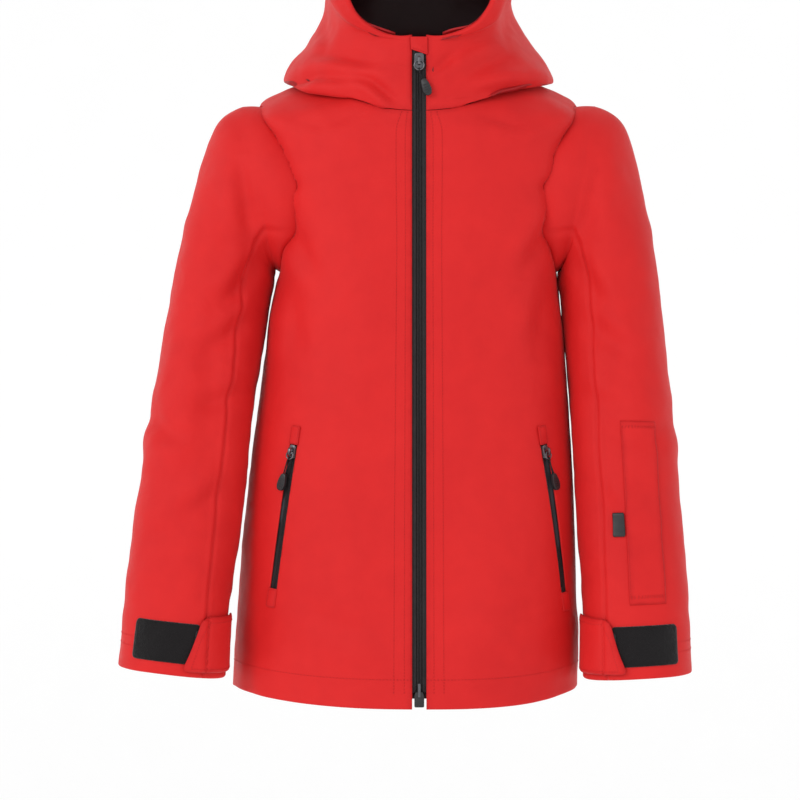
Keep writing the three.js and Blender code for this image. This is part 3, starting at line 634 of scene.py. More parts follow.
def hard_material(name, dark, light, rough, metal=0.0, worn=None):
    """Moulded or plated: fine grain in the gloss, and edges rubbed bright."""
    m = bpy.data.materials.new(name)
    m.use_nodes = True
    t = m.node_tree
    shader = next(n for n in t.nodes if n.type == "BSDF_PRINCIPLED")
    mottle, wear = t.nodes.new("ShaderNodeGroup"), t.nodes.new("ShaderNodeGroup")
    mottle.node_tree, wear.node_tree = MOTTLE, WEAR
    mix = t.nodes.new("ShaderNodeMix")
    mix.data_type = "RGBA"
    mix.inputs[6].default_value, mix.inputs[7].default_value = dark, light
    link(t, mottle.outputs["Mask"], mix.inputs[0])
    rub = t.nodes.new("ShaderNodeMix")
    rub.data_type = "RGBA"
    link(t, mix.outputs[2], rub.inputs[6])
    rub.inputs[7].default_value = worn or light
    link(t, wear.outputs["Mask"], rub.inputs[0])
    link(t, rub.outputs[2], shader.inputs["Base Color"])
    gloss = maths(t, "MULTIPLY", mottle.outputs["Grain"], 0.2)
    link(t, maths(t, "ADD", gloss, rough - 0.1), shader.inputs["Roughness"])
    bumps = t.nodes.new("ShaderNodeBump")
    bumps.inputs["Strength"].default_value = 0.15
    bumps.inputs["Distance"].default_value = 0.0001
    link(t, mottle.outputs["Grain"], bumps.inputs["Height"])
    link(t, bumps.outputs[0], shader.inputs["Normal"])
    shader.inputs["Metallic"].default_value = metal
    return m


SHELL_THREADS = 2 * math.pi / 0.0009
RED = cloth_material("red_shell", linear(198, 22, 26), linear(225, 36, 34), SHELL_THREADS, 0.6, 0.35,
                     sheen=0.05, specular=0.22, worn=linear(180, 12, 18))
RED_THREAD = cloth_material("red_thread", linear(176, 18, 24), linear(214, 40, 40),
                            SHELL_THREADS * 2, 0.7, 0.5)
# Painted shade: a darker copy of the shell red, for the shell's inner faces, the hood's facing and inside,
# and the sleeve linings.
RED_PAINTED_SHADE = cloth_material("red_lining", linear(150, 16, 22), linear(176, 24, 28),
                            SHELL_THREADS * 1.4, 0.5, 0.2)
BLACK = cloth_material("black_cloth", linear(34, 20, 22), linear(48, 30, 32), SHELL_THREADS * 1.4, 0.55, 0.2)
GREY = cloth_material("grey_mesh", linear(58, 58, 64), linear(78, 78, 84), SHELL_THREADS * 0.6, 0.85, 0.8)
WADDING = cloth_material("wadding", linear(214, 214, 208), linear(236, 236, 232),
                         SHELL_THREADS, 0.95, 0.3, pile=6)
TAPE = cloth_material("zip_tape", linear(24, 22, 24), linear(40, 36, 38), SHELL_THREADS * 0.7, 0.72, 0.9,
                      worn=linear(58, 52, 54))
PILE = cloth_material("loop_pile", linear(12, 10, 11), linear(28, 24, 26), SHELL_THREADS * 0.35, 0.95, 1.0,
                      sheen=0.25, pile=10)
HOOK = cloth_material("hook_strip", linear(20, 18, 20), linear(44, 42, 44), SHELL_THREADS * 0.3, 0.5, 1.0)
CORD = cloth_material("black_cord", linear(16, 15, 17), linear(40, 38, 40), SHELL_THREADS * 1.2, 0.7, 0.8)
COIL = hard_material("zip_coil", linear(20, 19, 20), linear(40, 38, 40), 0.38)
METAL = hard_material("dark_metal", linear(46, 46, 50), linear(96, 96, 102), 0.3, 0.85,
                      worn=linear(170, 170, 174))
MOULDED = hard_material("moulded_black", linear(20, 19, 21), linear(36, 35, 38), 0.45)


# ------------------------------------------------------------------ cloth pieces
def apply_modifier(o, kind, **settings):
    mod = o.modifiers.new(kind.lower(), kind)
    for key, value in settings.items():
        setattr(mod, key, value)
    bpy.ops.object.select_all(action="DESELECT")
    bpy.context.view_layer.objects.active = o
    o.select_set(True)
    bpy.ops.object.modifier_apply(modifier=mod.name)
    o.select_set(False)


def cloth(name, p, n, thick, materials, closed=False, keep=None, reach=6.0, edge=None):
    """A sheet of cloth from a grid: given its thickness inwards, its under face in the last material."""
    rows, columns = p.shape[:2]
    faces = grid_faces(rows, columns, closed, grid_turns_in(p, n))
    if keep is not None:
        faces = [f for f in faces if any(keep[k] for k in f)]
    used = np.unique(np.array(faces))
    index = np.full(rows * columns, -1)
    index[used] = np.arange(len(used))
    shape = Shape()
    mask = edge_mask(p, reach) if edge is None else edge
    shape.add(p.reshape(-1, 3)[used], [[index[k] for k in f] for f in faces],
              cloth_uv(p).reshape(-1, 2)[used], mask.ravel()[used])
    o = shape.build(name, materials)
    apply_modifier(o, "SOLIDIFY", thickness=thick / 1000, offset=-1, use_rim=True, use_even_offset=False,
                   material_offset=len(materials) - 1, material_offset_rim=0)
    o.data.shade_smooth()
    return o


def cut_sheet(p, closed=False):
    """Works out the flat size and area of the grid that a piece of cloth was made from."""
    across = np.linalg.norm(np.diff(p, axis=1), axis=2).sum(axis=1).max() / 1000
    down = np.linalg.norm(np.diff(p, axis=0), axis=2).sum(axis=0).max() / 1000
    if closed:
        across += np.linalg.norm(p[:, 0] - p[:, -1], axis=1).max() / 1000
    a, b = p[1:, :-1] - p[:-1, :-1], p[:-1, 1:] - p[:-1, :-1]
    area = np.linalg.norm(np.cross(a, b), axis=2).sum() / 1e6
    area = min(max(area, 0.31 * across * down), across * down)


def rows_of(loft, first, last, count):
    """Rows of a loft spread evenly over its length, measured round all its sides."""
    dense = np.linspace(first, last, 400)
    ring = loft.points(dense[:, None], np.linspace(-180, 165, 24)[None, :])
    step = np.linalg.norm(np.diff(ring, axis=0), axis=2).max(axis=1)
    run = np.concatenate([[0], np.cumsum(step)])
    return np.interp(np.linspace(0, run[-1], count), run, dense)


BODY_TOP = 11.0
body_rows = rows_of(BODY, 0.0, BODY_TOP, 200)


def armhole_field(p):
    """Below one inside the armhole."""
    f = (p[..., 1] / ARMHOLE_DEPTH) ** 2 + ((p[..., 2] - SHOULDER_Z) / ARMHOLE_RADIUS) ** 2
    return np.where(np.abs(p[..., 0]) > NEAR_SIDE, f, 9.0)


def trim_armhole(p):
    """Moves the last vertices inside the armhole out to its edge; says which vertices stay."""
    field = armhole_field(p)
    inside = field < 1.0
    scale = 1 / np.sqrt(np.maximum(field, 0.25))
    q = p.copy()
    q[..., 1] = np.where(inside, p[..., 1] * scale, p[..., 1])
    q[..., 2] = np.where(inside, SHOULDER_Z + (p[..., 2] - SHOULDER_Z) * scale, p[..., 2])
    return q, ~inside.ravel()


def hem_turned(p, n, rows=8, depth=3.6):
    """The first row rolled over and turned up inside as a facing."""
    step = p[0] - p[3]
    step /= np.linalg.norm(step, axis=1, keepdims=True)
    roll = [p[0] - n[0] * (depth / 2) * (1 - math.cos(a)) + step * 2.0 * math.sin(a)
            for a in np.linspace(math.pi, 0, 7)[:-1]]
    up = (p - n * depth)[1 : rows + 1][::-1]
    q = np.concatenate([up, np.array(roll), p])
    m = normals_of(q, q.mean(axis=(0, 1)))
    m[-len(p):] = n
    return q, m


def body_panel(first, last, columns):
    centre = BODY.middle(body_rows)[:, None, :]
    angles = cut_panel(BODY, body_rows, first, last, columns)
    p = BODY.points(body_rows[:, None], angles)
    n = normals_of(p, centre)
    drop = 3.4 * np.sin(p[..., 0] / 34.0 + 0.6) * smooth(120, 0, p[..., 2])
    return p + n * (body_folds(p) + drop * 0.6)[..., None], n


def front_panel(side):
    first = zip_edge(BODY, body_rows, side)
    last = np.full(len(body_rows), SIDE_SEAM if side > 0 else -180.0 - SIDE_SEAM)
    return body_panel(first, last, 110)


def back_panel():
    first = np.full(len(body_rows), SIDE_SEAM)
    return body_panel(first, np.full(len(body_rows), 180.0 - SIDE_SEAM), 200)


panels = {"left_front": front_panel(1), "right_front": front_panel(-1), "back": back_panel()}
pieces = {}
for label, (p, n) in panels.items():
    trimmed, stays = trim_armhole(p)
    turned, turned_n = hem_turned(trimmed, n)
    extra = (turned.shape[0] - p.shape[0]) * p.shape[1]
    stays = np.concatenate([np.ones(extra, bool), stays])
    pieces[label] = cloth(label + "_shell", turned, turned_n, SHELL_THICK, [RED, RED_PAINTED_SHADE], keep=stays)
    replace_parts(pieces[label], label)
    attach(pieces[label], "jacket")
    cut_sheet(turned)


# ------------------------------------------------------------------ sleeves
side_points = np.concatenate([p.reshape(-1, 3) for p, n in panels.values()])
side_points = side_points[np.abs(side_points[:, 0]) > NEAR_SIDE]


def armhole_curve(side, angles, scale=1.0):
    """The armhole's edge on the body's side, at the sleeve's angles."""
    turn = np.radians(angles)
    y = -ARMHOLE_DEPTH * np.cos(turn) * scale
    z = SHOULDER_Z + ARMHOLE_RADIUS * np.sin(turn) * scale
    near = side_points[side_points[:, 0] * side > 0]
    x = np.empty(len(angles))
    for k in range(len(angles)):
        gap = np.hypot(near[:, 1] - y[k], near[:, 2] - z[k])
        best = np.argsort(gap)[:6]
        weight = 1 / (gap[best] + 1.0)
        x[k] = np.sum(near[best, 0] * weight) / weight.sum()
    for _ in range(4):
        x = (np.roll(x, 1) + 2 * x + np.roll(x, -1)) / 4
    return np.stack([x, y, z], axis=1)


ARM_COLUMNS = 180
arm_angles = np.linspace(-152, 208, ARM_COLUMNS, endpoint=False)
arm_rows = rows_of(ARM, 1.0, 10.0, 190)
HEAD_ROWS = 14


def mirrored(p, swing=None):
    """The right sleeve's points for the left one, swung out about the shoulder."""
    q = p * (-1, 1, 1)
    a = LEFT_SWING if swing is None else swing
    x, z = q[..., 0] - SHOULDER_X, q[..., 2] - SHOULDER_Z
    q[..., 0] = SHOULDER_X + x * np.cos(a) + z * np.sin(a)
    q[..., 2] = SHOULDER_Z - x * np.sin(a) + z * np.cos(a)
    return q


def sleeve_grid(side):
    p = ARM.points(arm_rows[:, None], arm_angles[None, :])
    centre = ARM.middle(arm_rows)[:, None, :]
    n = normals_of(np.concatenate([p, p[:, :1]], axis=1), centre)[:, :-1]
    if side > 0:
        lift = arm_folds(p + (0, 300, 40))
        lift = 0.55 * lift + 0.6 * arm_folds(p)
    else:
        lift = arm_folds(p)
    beside = np.exp(-(((arm_angles + 78) / 34) ** 2))[None, :] * smooth(2.0, 4.0, arm_rows)[:, None]
    beside = beside * (1 - smooth(8.6, 9.3, arm_rows)[:, None]) * 4.2
    seams = np.zeros(p.shape[:2])
    for at_angle in (-34.0, 206.0):
        reach = np.radians(arm_angles - at_angle) * 54.0
        seams -= 1.7 * np.exp(-((reach / 2.0) ** 2)) - 0.8 * np.exp(-(((reach - 5) / 3.0) ** 2))
    p = p + n * (lift + beside + seams)[..., None]
    if side > 0:
        swing = LEFT_SWING * smooth(1.0, 2.2, arm_rows)[:, None]
        p = mirrored(p, swing)
        n = n * (-1, 1, 1)
    start = armhole_curve(side, arm_angles, 0.985)
    start[:, 0] -= side * 2.2
    head = []
    flatter = 1 - 0.85 * np.exp(-(((arm_angles - 90) / 60) ** 2))
    for t in np.linspace(0, 1, HEAD_ROWS, endpoint=False):
        bulge = 4.5 * math.sin(math.pi * t) * flatter[:, None]
        head.append(start * (1 - t) + p[0] * t + n[0] * bulge)
    p = np.concatenate([np.array(head), p])
    n = normals_of(np.concatenate([p, p[:, :1]], axis=1), p.mean(axis=1, keepdims=True))[:, :-1]
    return p, n


def cuff_turned(p, n, rows=10, depth=3.2):
    """The last row rolled over and turned up inside, the facing returned apart from the shell."""
    end = p[-1] - p[-4]
    end /= np.linalg.norm(end, axis=1, keepdims=True)
    roll = [p[-1] - n[-1] * (depth / 2) * (1 - math.cos(a)) + end * 2.0 * math.sin(a)
            for a in np.linspace(0, math.pi, 7)[1:]]
    up = (p - n * depth)[-rows - 1 : -1][::-1]
    q = np.concatenate([p, np.array(roll), up])
    m = normals_of(np.concatenate([q, q[:, :1]], axis=1), q.mean(axis=1, keepdims=True))[:, :-1]
    m[: len(p)] = n
    m[-rows:] = -n[-rows - 1 : -1][::-1]
    for k in range(6):
        a = math.pi * (k + 1) / 6
        m[len(p) + k] = n[-1] * math.cos(a) + end * math.sin(a)
    return q, m


def blend_sleeve(o):
    """Applies the piece's placing to its mesh."""
    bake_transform(o)


sleeves = {}
for side, label in ((1, "left"), (-1, "right")):
    p, n = sleeve_grid(side)
    sleeves[label] = Grid(p, n)
    turned, turned_n = cuff_turned(p, n)
    o = cloth(label + "_sleeve_shell", turned, turned_n, SHELL_THICK, [RED, RED_PAINTED_SHADE], closed=True)
    blend_sleeve(o)
    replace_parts(o, label + "_upper_sleeve", label + "_under_sleeve")
    pieces[label + "_sleeve"] = o
    cut_sheet(turned, closed=True)


# ------------------------------------------------------------------ hood and collar
hood_rows = np.concatenate([np.linspace(0, 5, 60, endpoint=False), np.linspace(5, 12, 130)])
HOOD_COLUMNS = 230


def hood_grid(inset=0.0, gap=ZIP_GAP, soft=1.0, columns=HOOD_COLUMNS):
    rows = hood_rows
    first = zip_edge(HOOD, rows, 1, gap)
    last = zip_edge(HOOD, rows, -1, gap) + 360
    angles = cut_panel(HOOD, rows, first, last, columns)
    p = HOOD.points(rows[:, None], angles)
    n = normals_of(p, HOOD.middle(rows)[:, None, :])
    return p + n * (hood_folds(p, soft) - inset)[..., None], n


p, n = hood_grid()
roll_step = p[-1] - p[-3]
roll_step /= np.linalg.norm(roll_step, axis=1, keepdims=True)
roll = np.array([p[-1] - n[-1] * 2.6 * (1 - math.cos(a)) + roll_step * 3.0 * math.sin(a)
                 for a in np.linspace(0, math.pi, 9)[1:]])
facing = (p - n * 5.2)[-14:-1][::-1]
turned = np.concatenate([p, roll, facing])
roll_n = [n[-1] * math.cos(a) + roll_step * math.sin(a) for a in np.linspace(0, math.pi, 9)[1:]]
turned_n = np.concatenate([n, roll_n, -n[-14:-1][::-1]])
# The hood's inner face and facing take the darker red of painted shade.
hood = cloth("hood_shell", turned, turned_n, SHELL_THICK, [RED, RED_PAINTED_SHADE])
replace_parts(hood, "left_collar", "right_collar", "left_hood_panel", "right_hood_panel", "hood_centre_panel")
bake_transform(hood)
pieces["hood"] = hood
cut_sheet(turned)


# ------------------------------------------------------------------ linings
def inner_body(label, depth):
    p, n = panels[label]
    q, m = p[6:-1:3, ::3], n[6:-1:3, ::3]
    pleat = 1.2 * wander(q, 30, 21)
    trimmed, stays = trim_armhole(q)
    return trimmed - m * (depth + pleat)[..., None], m, stays


for label in ("left_front", "right_front", "back"):
    node = label + "_lining"
    q, m, stays = inner_body(label, 8.4)
    o = cloth(node + "_cloth", q, m, 0.8, [BLACK, BLACK], keep=stays)
    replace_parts(o, node)
    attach(o, "jacket")
    pieces[node] = o
for side, label in ((1, "left"), (-1, "right")):
    g = sleeves[label]
    q, m = g.p[18::3, ::3], g.n[18::3, ::3]
    q = q[:-1]
    m = m[:-1]
    o = cloth(label + "_sleeve_lining_cloth", q - m * 8.4, m, 0.8, [RED_PAINTED_SHADE, RED_PAINTED_SHADE], closed=True)
    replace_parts(o, label + "_sleeve_lining")
    blend_sleeve(o)
p, n = hood_grid(7.3, 24, 1.0, columns=120)
flare = np.exp(-(((hood_rows - 2.0) / 1.6) ** 2))[:, None]
p = p * np.stack([1 - 0.06 * flare, 1 - 0.04 * flare, np.ones_like(flare)], axis=2)
p[..., 2] += 3.5 * flare
# The hood lining is the darker red of painted shade.
o = cloth("hood_lining_cloth", p[62:-6], n[62:-6], 0.9, [RED_PAINTED_SHADE, RED_PAINTED_SHADE])
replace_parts(o, "hood_lining")
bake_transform(o)
o = cloth("collar_lining_cloth", p[6:66] + n[6:66] * 1.2, n[6:66], 0.9, [BLACK, BLACK])
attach(o, "jacket")


# ------------------------------------------------------------------ padding
def padding_piece(name, q, m, closed=False, keep=None):
    o = cloth(name, q - m * 4.9, m, 2.4, [WADDING, WADDING], closed=closed, keep=keep)
    return o


body_wadding = []
for label, (p, n) in panels.items():
    trimmed, stays = trim_armhole(p[6:-1:3, ::3])
    body_wadding.append(padding_piece(label + "_wadding", trimmed, n[6:-1:3, ::3], keep=stays))
    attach(body_wadding[-1], "jacket")
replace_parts(body_wadding[0], "body_padding")
for side, label in ((1, "left"), (-1, "right")):
    g = sleeves[label]
    o = padding_piece(label + "_sleeve_wadding", g.p[18:-6:3, ::3], g.n[18:-6:3, ::3], closed=True)
    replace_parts(o, label + "_sleeve_padding")
    blend_sleeve(o)


# ------------------------------------------------------------------ zips and pulls
class Line:
    """A zip's own frame: x across it, y out of the cloth, z up the zip from its bottom."""

    def __init__(self, bottom, top, outward):
        self.origin = np.asarray(bottom, float)
        self.length = float(np.linalg.norm(np.asarray(top) - bottom))
        self.up = (np.asarray(top) - bottom) / self.length
        out = np.asarray(outward, float) - self.up * np.dot(outward, self.up)
        self.out = out / np.linalg.norm(out)
        self.across = np.cross(self.out, self.up)

    def at(self, points):
        p = np.asarray(points, float).reshape(-1, 3)
        return self.origin + p @ np.array([self.across, self.out, self.up])

    def raised(self, height):
        other = Line(self.origin, self.origin + self.up, self.out)
        other.origin, other.length = self.origin + self.up * height, self.length
        return other


MAIN = Line((0, zip_y(0), 0), (0, zip_y(625), 625), (0, -1, 0))
ZIP_TOP, ZIP_BOX_TOP = 625.0, 14.5


def rounded(points, radius, steps=5):
    """A polygon with its corners rounded off."""
    p = np.asarray(points, float)
    r = np.broadcast_to(np.asarray(radius, float), (len(p),))
    out = []
    for k in range(len(p)):
        a, b, c = p[k - 1], p[k], p[(k + 1) % len(p)]
        to_a, to_c = a - b, c - b
        la, lc = np.linalg.norm(to_a), np.linalg.norm(to_c)
        reach = min(r[k], la * 0.48, lc * 0.48)
        s, e = b + to_a / la * reach, b + to_c / lc * reach
        for t in np.linspace(0, 1, steps):
            out.append((1 - t) ** 2 * s + 2 * t * (1 - t) * b + t * t * e)
    return np.array(out)


def plate(shape, frame_of, outline, low, high, bevel=0.4, axis="out", material=0, edge_wear=1.0):
    """A plate cut to an outline, its two faces' edges rounded; the outline lies in x and z of the frame."""
    o = np.asarray(outline, float)
    centre = o.mean(axis=0)
    size = np.abs(o - centre).max()
    layers, masks = [], []
    for y, inset, mask in ((low, bevel, 0.3), (low + bevel * 0.3, bevel * 0.3, 1), (low + bevel, 0, 0.6),
                           (high - bevel, 0, 0.6), (high - bevel * 0.3, bevel * 0.3, 1), (high, bevel, 0.3)):
        q = centre + (o - centre) * (1 - inset / size)
        layers.append(np.stack([q[:, 0], np.full(len(q), y), q[:, 1]], axis=1))
        masks.append(np.full(len(q), mask * edge_wear))
    count = len(o)
    verts = np.concatenate(layers)
    if axis == "side":
        verts = verts[:, [1, 0, 2]]
    faces = grid_faces(len(layers), count, closed=True)
    faces += [tuple(range(count))[::-1], tuple(range(5 * count, 6 * count))]
    area = np.sum(o[:, 0] * np.roll(o[:, 1], -1) - np.roll(o[:, 0], -1) * o[:, 1])
    if (area > 0) != (axis == "side"):
        faces = [f[::-1] for f in faces]
    shape.add(frame_of.at(verts), faces, edge=np.concatenate(masks), material=material)


def fix_normals(o):
    """Turns every closed piece of a mesh to face outwards."""
    work = bmesh.new()
    work.from_mesh(o.data)
    bmesh.ops.recalc_face_normals(work, faces=work.faces)
    work.to_mesh(o.data)
    work.free()
    return o


def tapes(shape, frame_of, inner, outer, bottom, top, depth, thick, side):
    """One zip tape: a woven strip with a raised cord beside the coil and faint ribs along it."""
    columns, rows = 17, 90
    x = np.linspace(inner, outer, columns)
    z = np.linspace(bottom, top, rows)
    grid = np.zeros((rows, columns, 3))
    grid[..., 0] = -side * x
    grid[..., 2] = z[:, None]
    bead = 0.35 * np.exp(-(((x - inner - 0.9) / 0.6) ** 2)) + 0.06 * np.cos(x * 5.2)
    grid[..., 1] = -depth + bead
    p = frame_of.at(grid).reshape(rows, columns, 3)
    n = np.broadcast_to(frame_of.out, p.shape)
    sheet_solid(shape, p, n, thick)


def coil(shape, frame_of, half, bottom, top, pitch, depth, high):
    """The spiral's loops, one for each turn and half a turn apart on the two tapes."""
    count = int((top - bottom) / pitch)
    for k in range(count):
        for side in (-1, 1):
            z = bottom + (k + (0.25 if side > 0 else 0.75)) * pitch
            a = np.array([side * half, depth, z - pitch * 0.1])
            b = np.array([-side * 0.35, depth, z + pitch * 0.1])
            ends = frame_of.at([a, b])
            stitch(shape, ends[0], ends[1], frame_of.out, width=pitch * 0.42, rise=high, sink=0.4)


def pull_pieces(name, body, frame_of, ring_width, ring_height, drop, lean=0.0):
    """Ring, doubled cord and grip that hang from a slider; lean swings the grip to one side, in mm."""
    t = np.linspace(0, 2 * math.pi, 28, endpoint=False)
    pin = 3.9
    loop = np.stack([ring_width * np.sin(t), np.full(28, pin), ring_height / 2 * (np.cos(t) - 1)], axis=1)
    v, f = tube(frame_of.at(loop), 0.6, 10, closed=True)
    ring = Shape().add(v, f, edge=np.tile([0.2, 0.9], len(v) // 2)).build(name + "_ring_wire", [METAL])
    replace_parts(fix_normals(ring), name + "_ring")
    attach(ring, body)
    low, end = -ring_height, -ring_height - drop
    way = np.array([
        [0.9, 0, end - 4.5], [0.9, 0, end - 2], [0.9, 0.1, end + 1.5], [0.6, 1.0, low - 3],
        [0.1, 1.35, low - 0.6],
        [0, 0.85, low + 1.1], [0, 0, low + 1.5], [0, -0.85, low + 1.1], [-0.1, -1.35, low - 0.6],
        [-0.6, -1.0, low - 3], [-0.9, -0.1, end + 1.5], [-0.9, 0, end - 2], [-0.9, 0, end - 4.5],
    ])
    way[:, 0] += lean * np.clip((low - way[:, 2]) / drop, 0, 1.3)
    way[:, 1] += pin
    fine = []
    for k in range(len(way) - 1):
        p, q = way[max(k - 1, 0)], way[k]
        r, s = way[k + 1], way[min(k + 2, len(way) - 1)]
        for u in np.linspace(0, 1, 6, endpoint=False):
            bend, twist = 2 * p - 5 * q + 4 * r - s, 3 * q - p - 3 * r + s
            fine.append(0.5 * (2 * q + (r - p) * u + bend * u**2 + twist * u**3))
    fine = frame_of.at(np.array(fine + [way[-1]]))
    v, f = tube(fine, 0.62, 10)
    strands = Shape().add(v, f)
    cord = strands.build(name + "_cord_loop", [CORD])
    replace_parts(fix_normals(cord), name + "_cord")
    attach(cord, body)
    grip = Shape()
    top = end
    turn = lean / max(drop, 1) * 0.8
    outline = np.array([(-2.2, 0.6), (2.2, 0.6), (4.0, -6), (4.4, -11.5), (2.6, -15.4), (0, -16.2),
                        (-2.6, -15.4), (-4.4, -11.5), (-4.0, -6)])
    outline = rounded(outline, 2.2, 4)

    def hung(o):
        x, z = o[:, 0], o[:, 1]
        c, s = math.cos(turn), math.sin(turn)
        return np.stack([lean + x * c - z * s, top + x * s + z * c], 1)

    plate(grip, frame_of, hung(outline), pin - 1.9, pin + 1.9, 0.7)
    for k in range(4):
        z = -5.4 - 2.4 * k
        wide = 2.5 + 0.14 * k
        bar = rounded([(-wide, z - 0.45), (wide, z - 0.45), (wide, z + 0.45), (-wide, z + 0.45)], 0.4, 3)
        plate(grip, frame_of, hung(bar), pin + 1.2, pin + 2.4, 0.3)
    made = grip.build(name + "_grip", [MOULDED], sharp=35)
    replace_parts(fix_normals(made), name + "_tab")
    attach(made, body)
    return ring, cord, made


def slider_piece(name, node, body, frame_of, half, length):
    """The slider's top plate, narrower at its tail, side flanges, and the bridge that carries the ring."""
    s = Shape()
    h = length / 2
    outline = rounded([(-half * 0.72, -h), (half * 0.72, -h), (half, h * 0.35), (half * 0.8, h),
                       (-half * 0.8, h), (-half, h * 0.35)], 1.3, 5)
    plate(s, frame_of, outline, 0.1, 1.7, 0.5)
    for side in (-1, 1):
        flange = rounded([(side * (half - 0.9), -h + 0.6), (side * half, -h + 1.0), (side * half, h - 1.2),
                          (side * (half - 0.9), h - 0.6)], 0.4, 3)
        plate(s, frame_of, flange, -1.5, 0.6, 0.25)
    arch = [(-4.2, 1.0), (-4.2, 4.6), (-3.4, 5.9), (-1.9, 6.6), (1.9, 6.6), (3.4, 5.9), (4.2, 4.6),
            (4.2, 1.0), (2.7, 1.0), (2.7, 4.3), (2.1, 5.2), (-2.1, 5.2), (-2.7, 4.3), (-2.7, 1.0)]
    pts = np.array(arch)
    ring = []
    for x, inset in ((-1.25, 0.3), (-0.95, 0), (0.95, 0), (1.25, 0.3)):
        mid = np.array([0, 3.6])
        q = pts + (mid - pts) * inset * 0.12
        ring.append(np.stack([np.full(len(q), x), q[:, 1], q[:, 0]], axis=1))
    faces = grid_faces(4, len(pts), closed=True)
    legs = []
    side_faces = ((0, 1, 12, 13), (1, 2, 11, 12), (2, 3, 11, 11), (3, 4, 10, 11),
                  (4, 5, 10, 10), (5, 6, 9, 10), (6, 7, 8, 9))
    for a, b, c, d in side_faces:
        quad = tuple(dict.fromkeys((a, b, c, d)))
        legs += [quad, tuple(3 * len(pts) + k for k in quad[::-1])]
    s.add(frame_of.at(np.concatenate(ring)), faces + legs, edge=np.tile([0.7, 0.3], 2 * len(pts)))
    o = s.build(name, [METAL], sharp=35)
    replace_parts(fix_normals(o), node)
    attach(o, body)
    return o


def shown(shape, name, materials, nodes=(), body="jacket", sharp=None):
    o = fix_normals(shape.build(name, materials, sharp=sharp))
    if nodes:
        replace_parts(o, *nodes)
    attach(o, body)
    return o


for side, label in ((1, "left"), (-1, "right")):
    s = Shape()
    tapes(s, MAIN, 2.9, 13.5, ZIP_BOX_TOP - 1, ZIP_TOP, 1.7, 0.8, side)
    shown(s, label + "_zip_tape_woven", [TAPE], [label + "_zip_tape"])
s = Shape()
coil(s, MAIN, 2.9, ZIP_BOX_TOP, 617, 1.15, -1.6, 0.75)
shown(s, "zip_coil_loops", [COIL], ["left_zip_coil", "right_zip_coil"])
main_slider_frame = MAIN.raised(MAIN_SLIDER_AT / MAIN.up[2])
slider_piece("main_slider_body", "main_slider", "main_slider", main_slider_frame, 4.4, 15)
pull_pieces("main_pull", "main_pull", main_slider_frame, 4.6, 9, 9, lean=-4.0)

s = Shape()
box_outline = rounded([(-4.6, 0), (4.6, 0), (4.6, 10.5), (3.4, 14.2), (-3.4, 14.2), (-4.6, 10.5)], 1.4, 5)
plate(s, MAIN, box_outline, -3.0, 0.6, 0.5)
slot_rim = rounded([(-3.2, 3.0), (3.2, 3.0), (3.2, 9.0), (-3.2, 9.0)], 1.0, 4)
plate(s, MAIN, slot_rim, 0.4, 1.0, 0.3)
shown(s, "zip_box_shell", [MOULDED], ["zip_box"], sharp=35)
s = Shape()
plate(s, MAIN, rounded([(-1.2, 9.5), (1.2, 9.5), (1.2, 22), (-1.2, 22)], 0.7, 4), -0.4, 0.9, 0.35)
shown(s, "zip_pin_metal", [METAL], ["zip_pin"], sharp=35)


# ------------------------------------------------------------------ hand pockets
def on_body(side, x, z):
    """The point of the pattern shape at a given half-distance and height, and its outward normal."""
    u = np.linspace(0.2, 4, 77)[:, None]
    d = np.linspace(-89, -5, 169)[None, :]
    d = d if side > 0 else -180 - d
    p = BODY.points(u, d)
    k = np.unravel_index(np.argmin(np.hypot(side * p[..., 0] - x, p[..., 2] - z)), p.shape[:2])
    uu, dd = u[k[0], 0], d[0, k[1]]
    a = BODY.points(uu + 0.02, dd) - BODY.points(uu - 0.02, dd)
    b = BODY.points(uu, dd + 0.8) - BODY.points(uu, dd - 0.8)
    n = np.cross(b, a)
    n /= np.linalg.norm(n)
    return p[k], n if np.dot(n, p[k] - BODY.middle(np.array(uu))) > 0 else -n


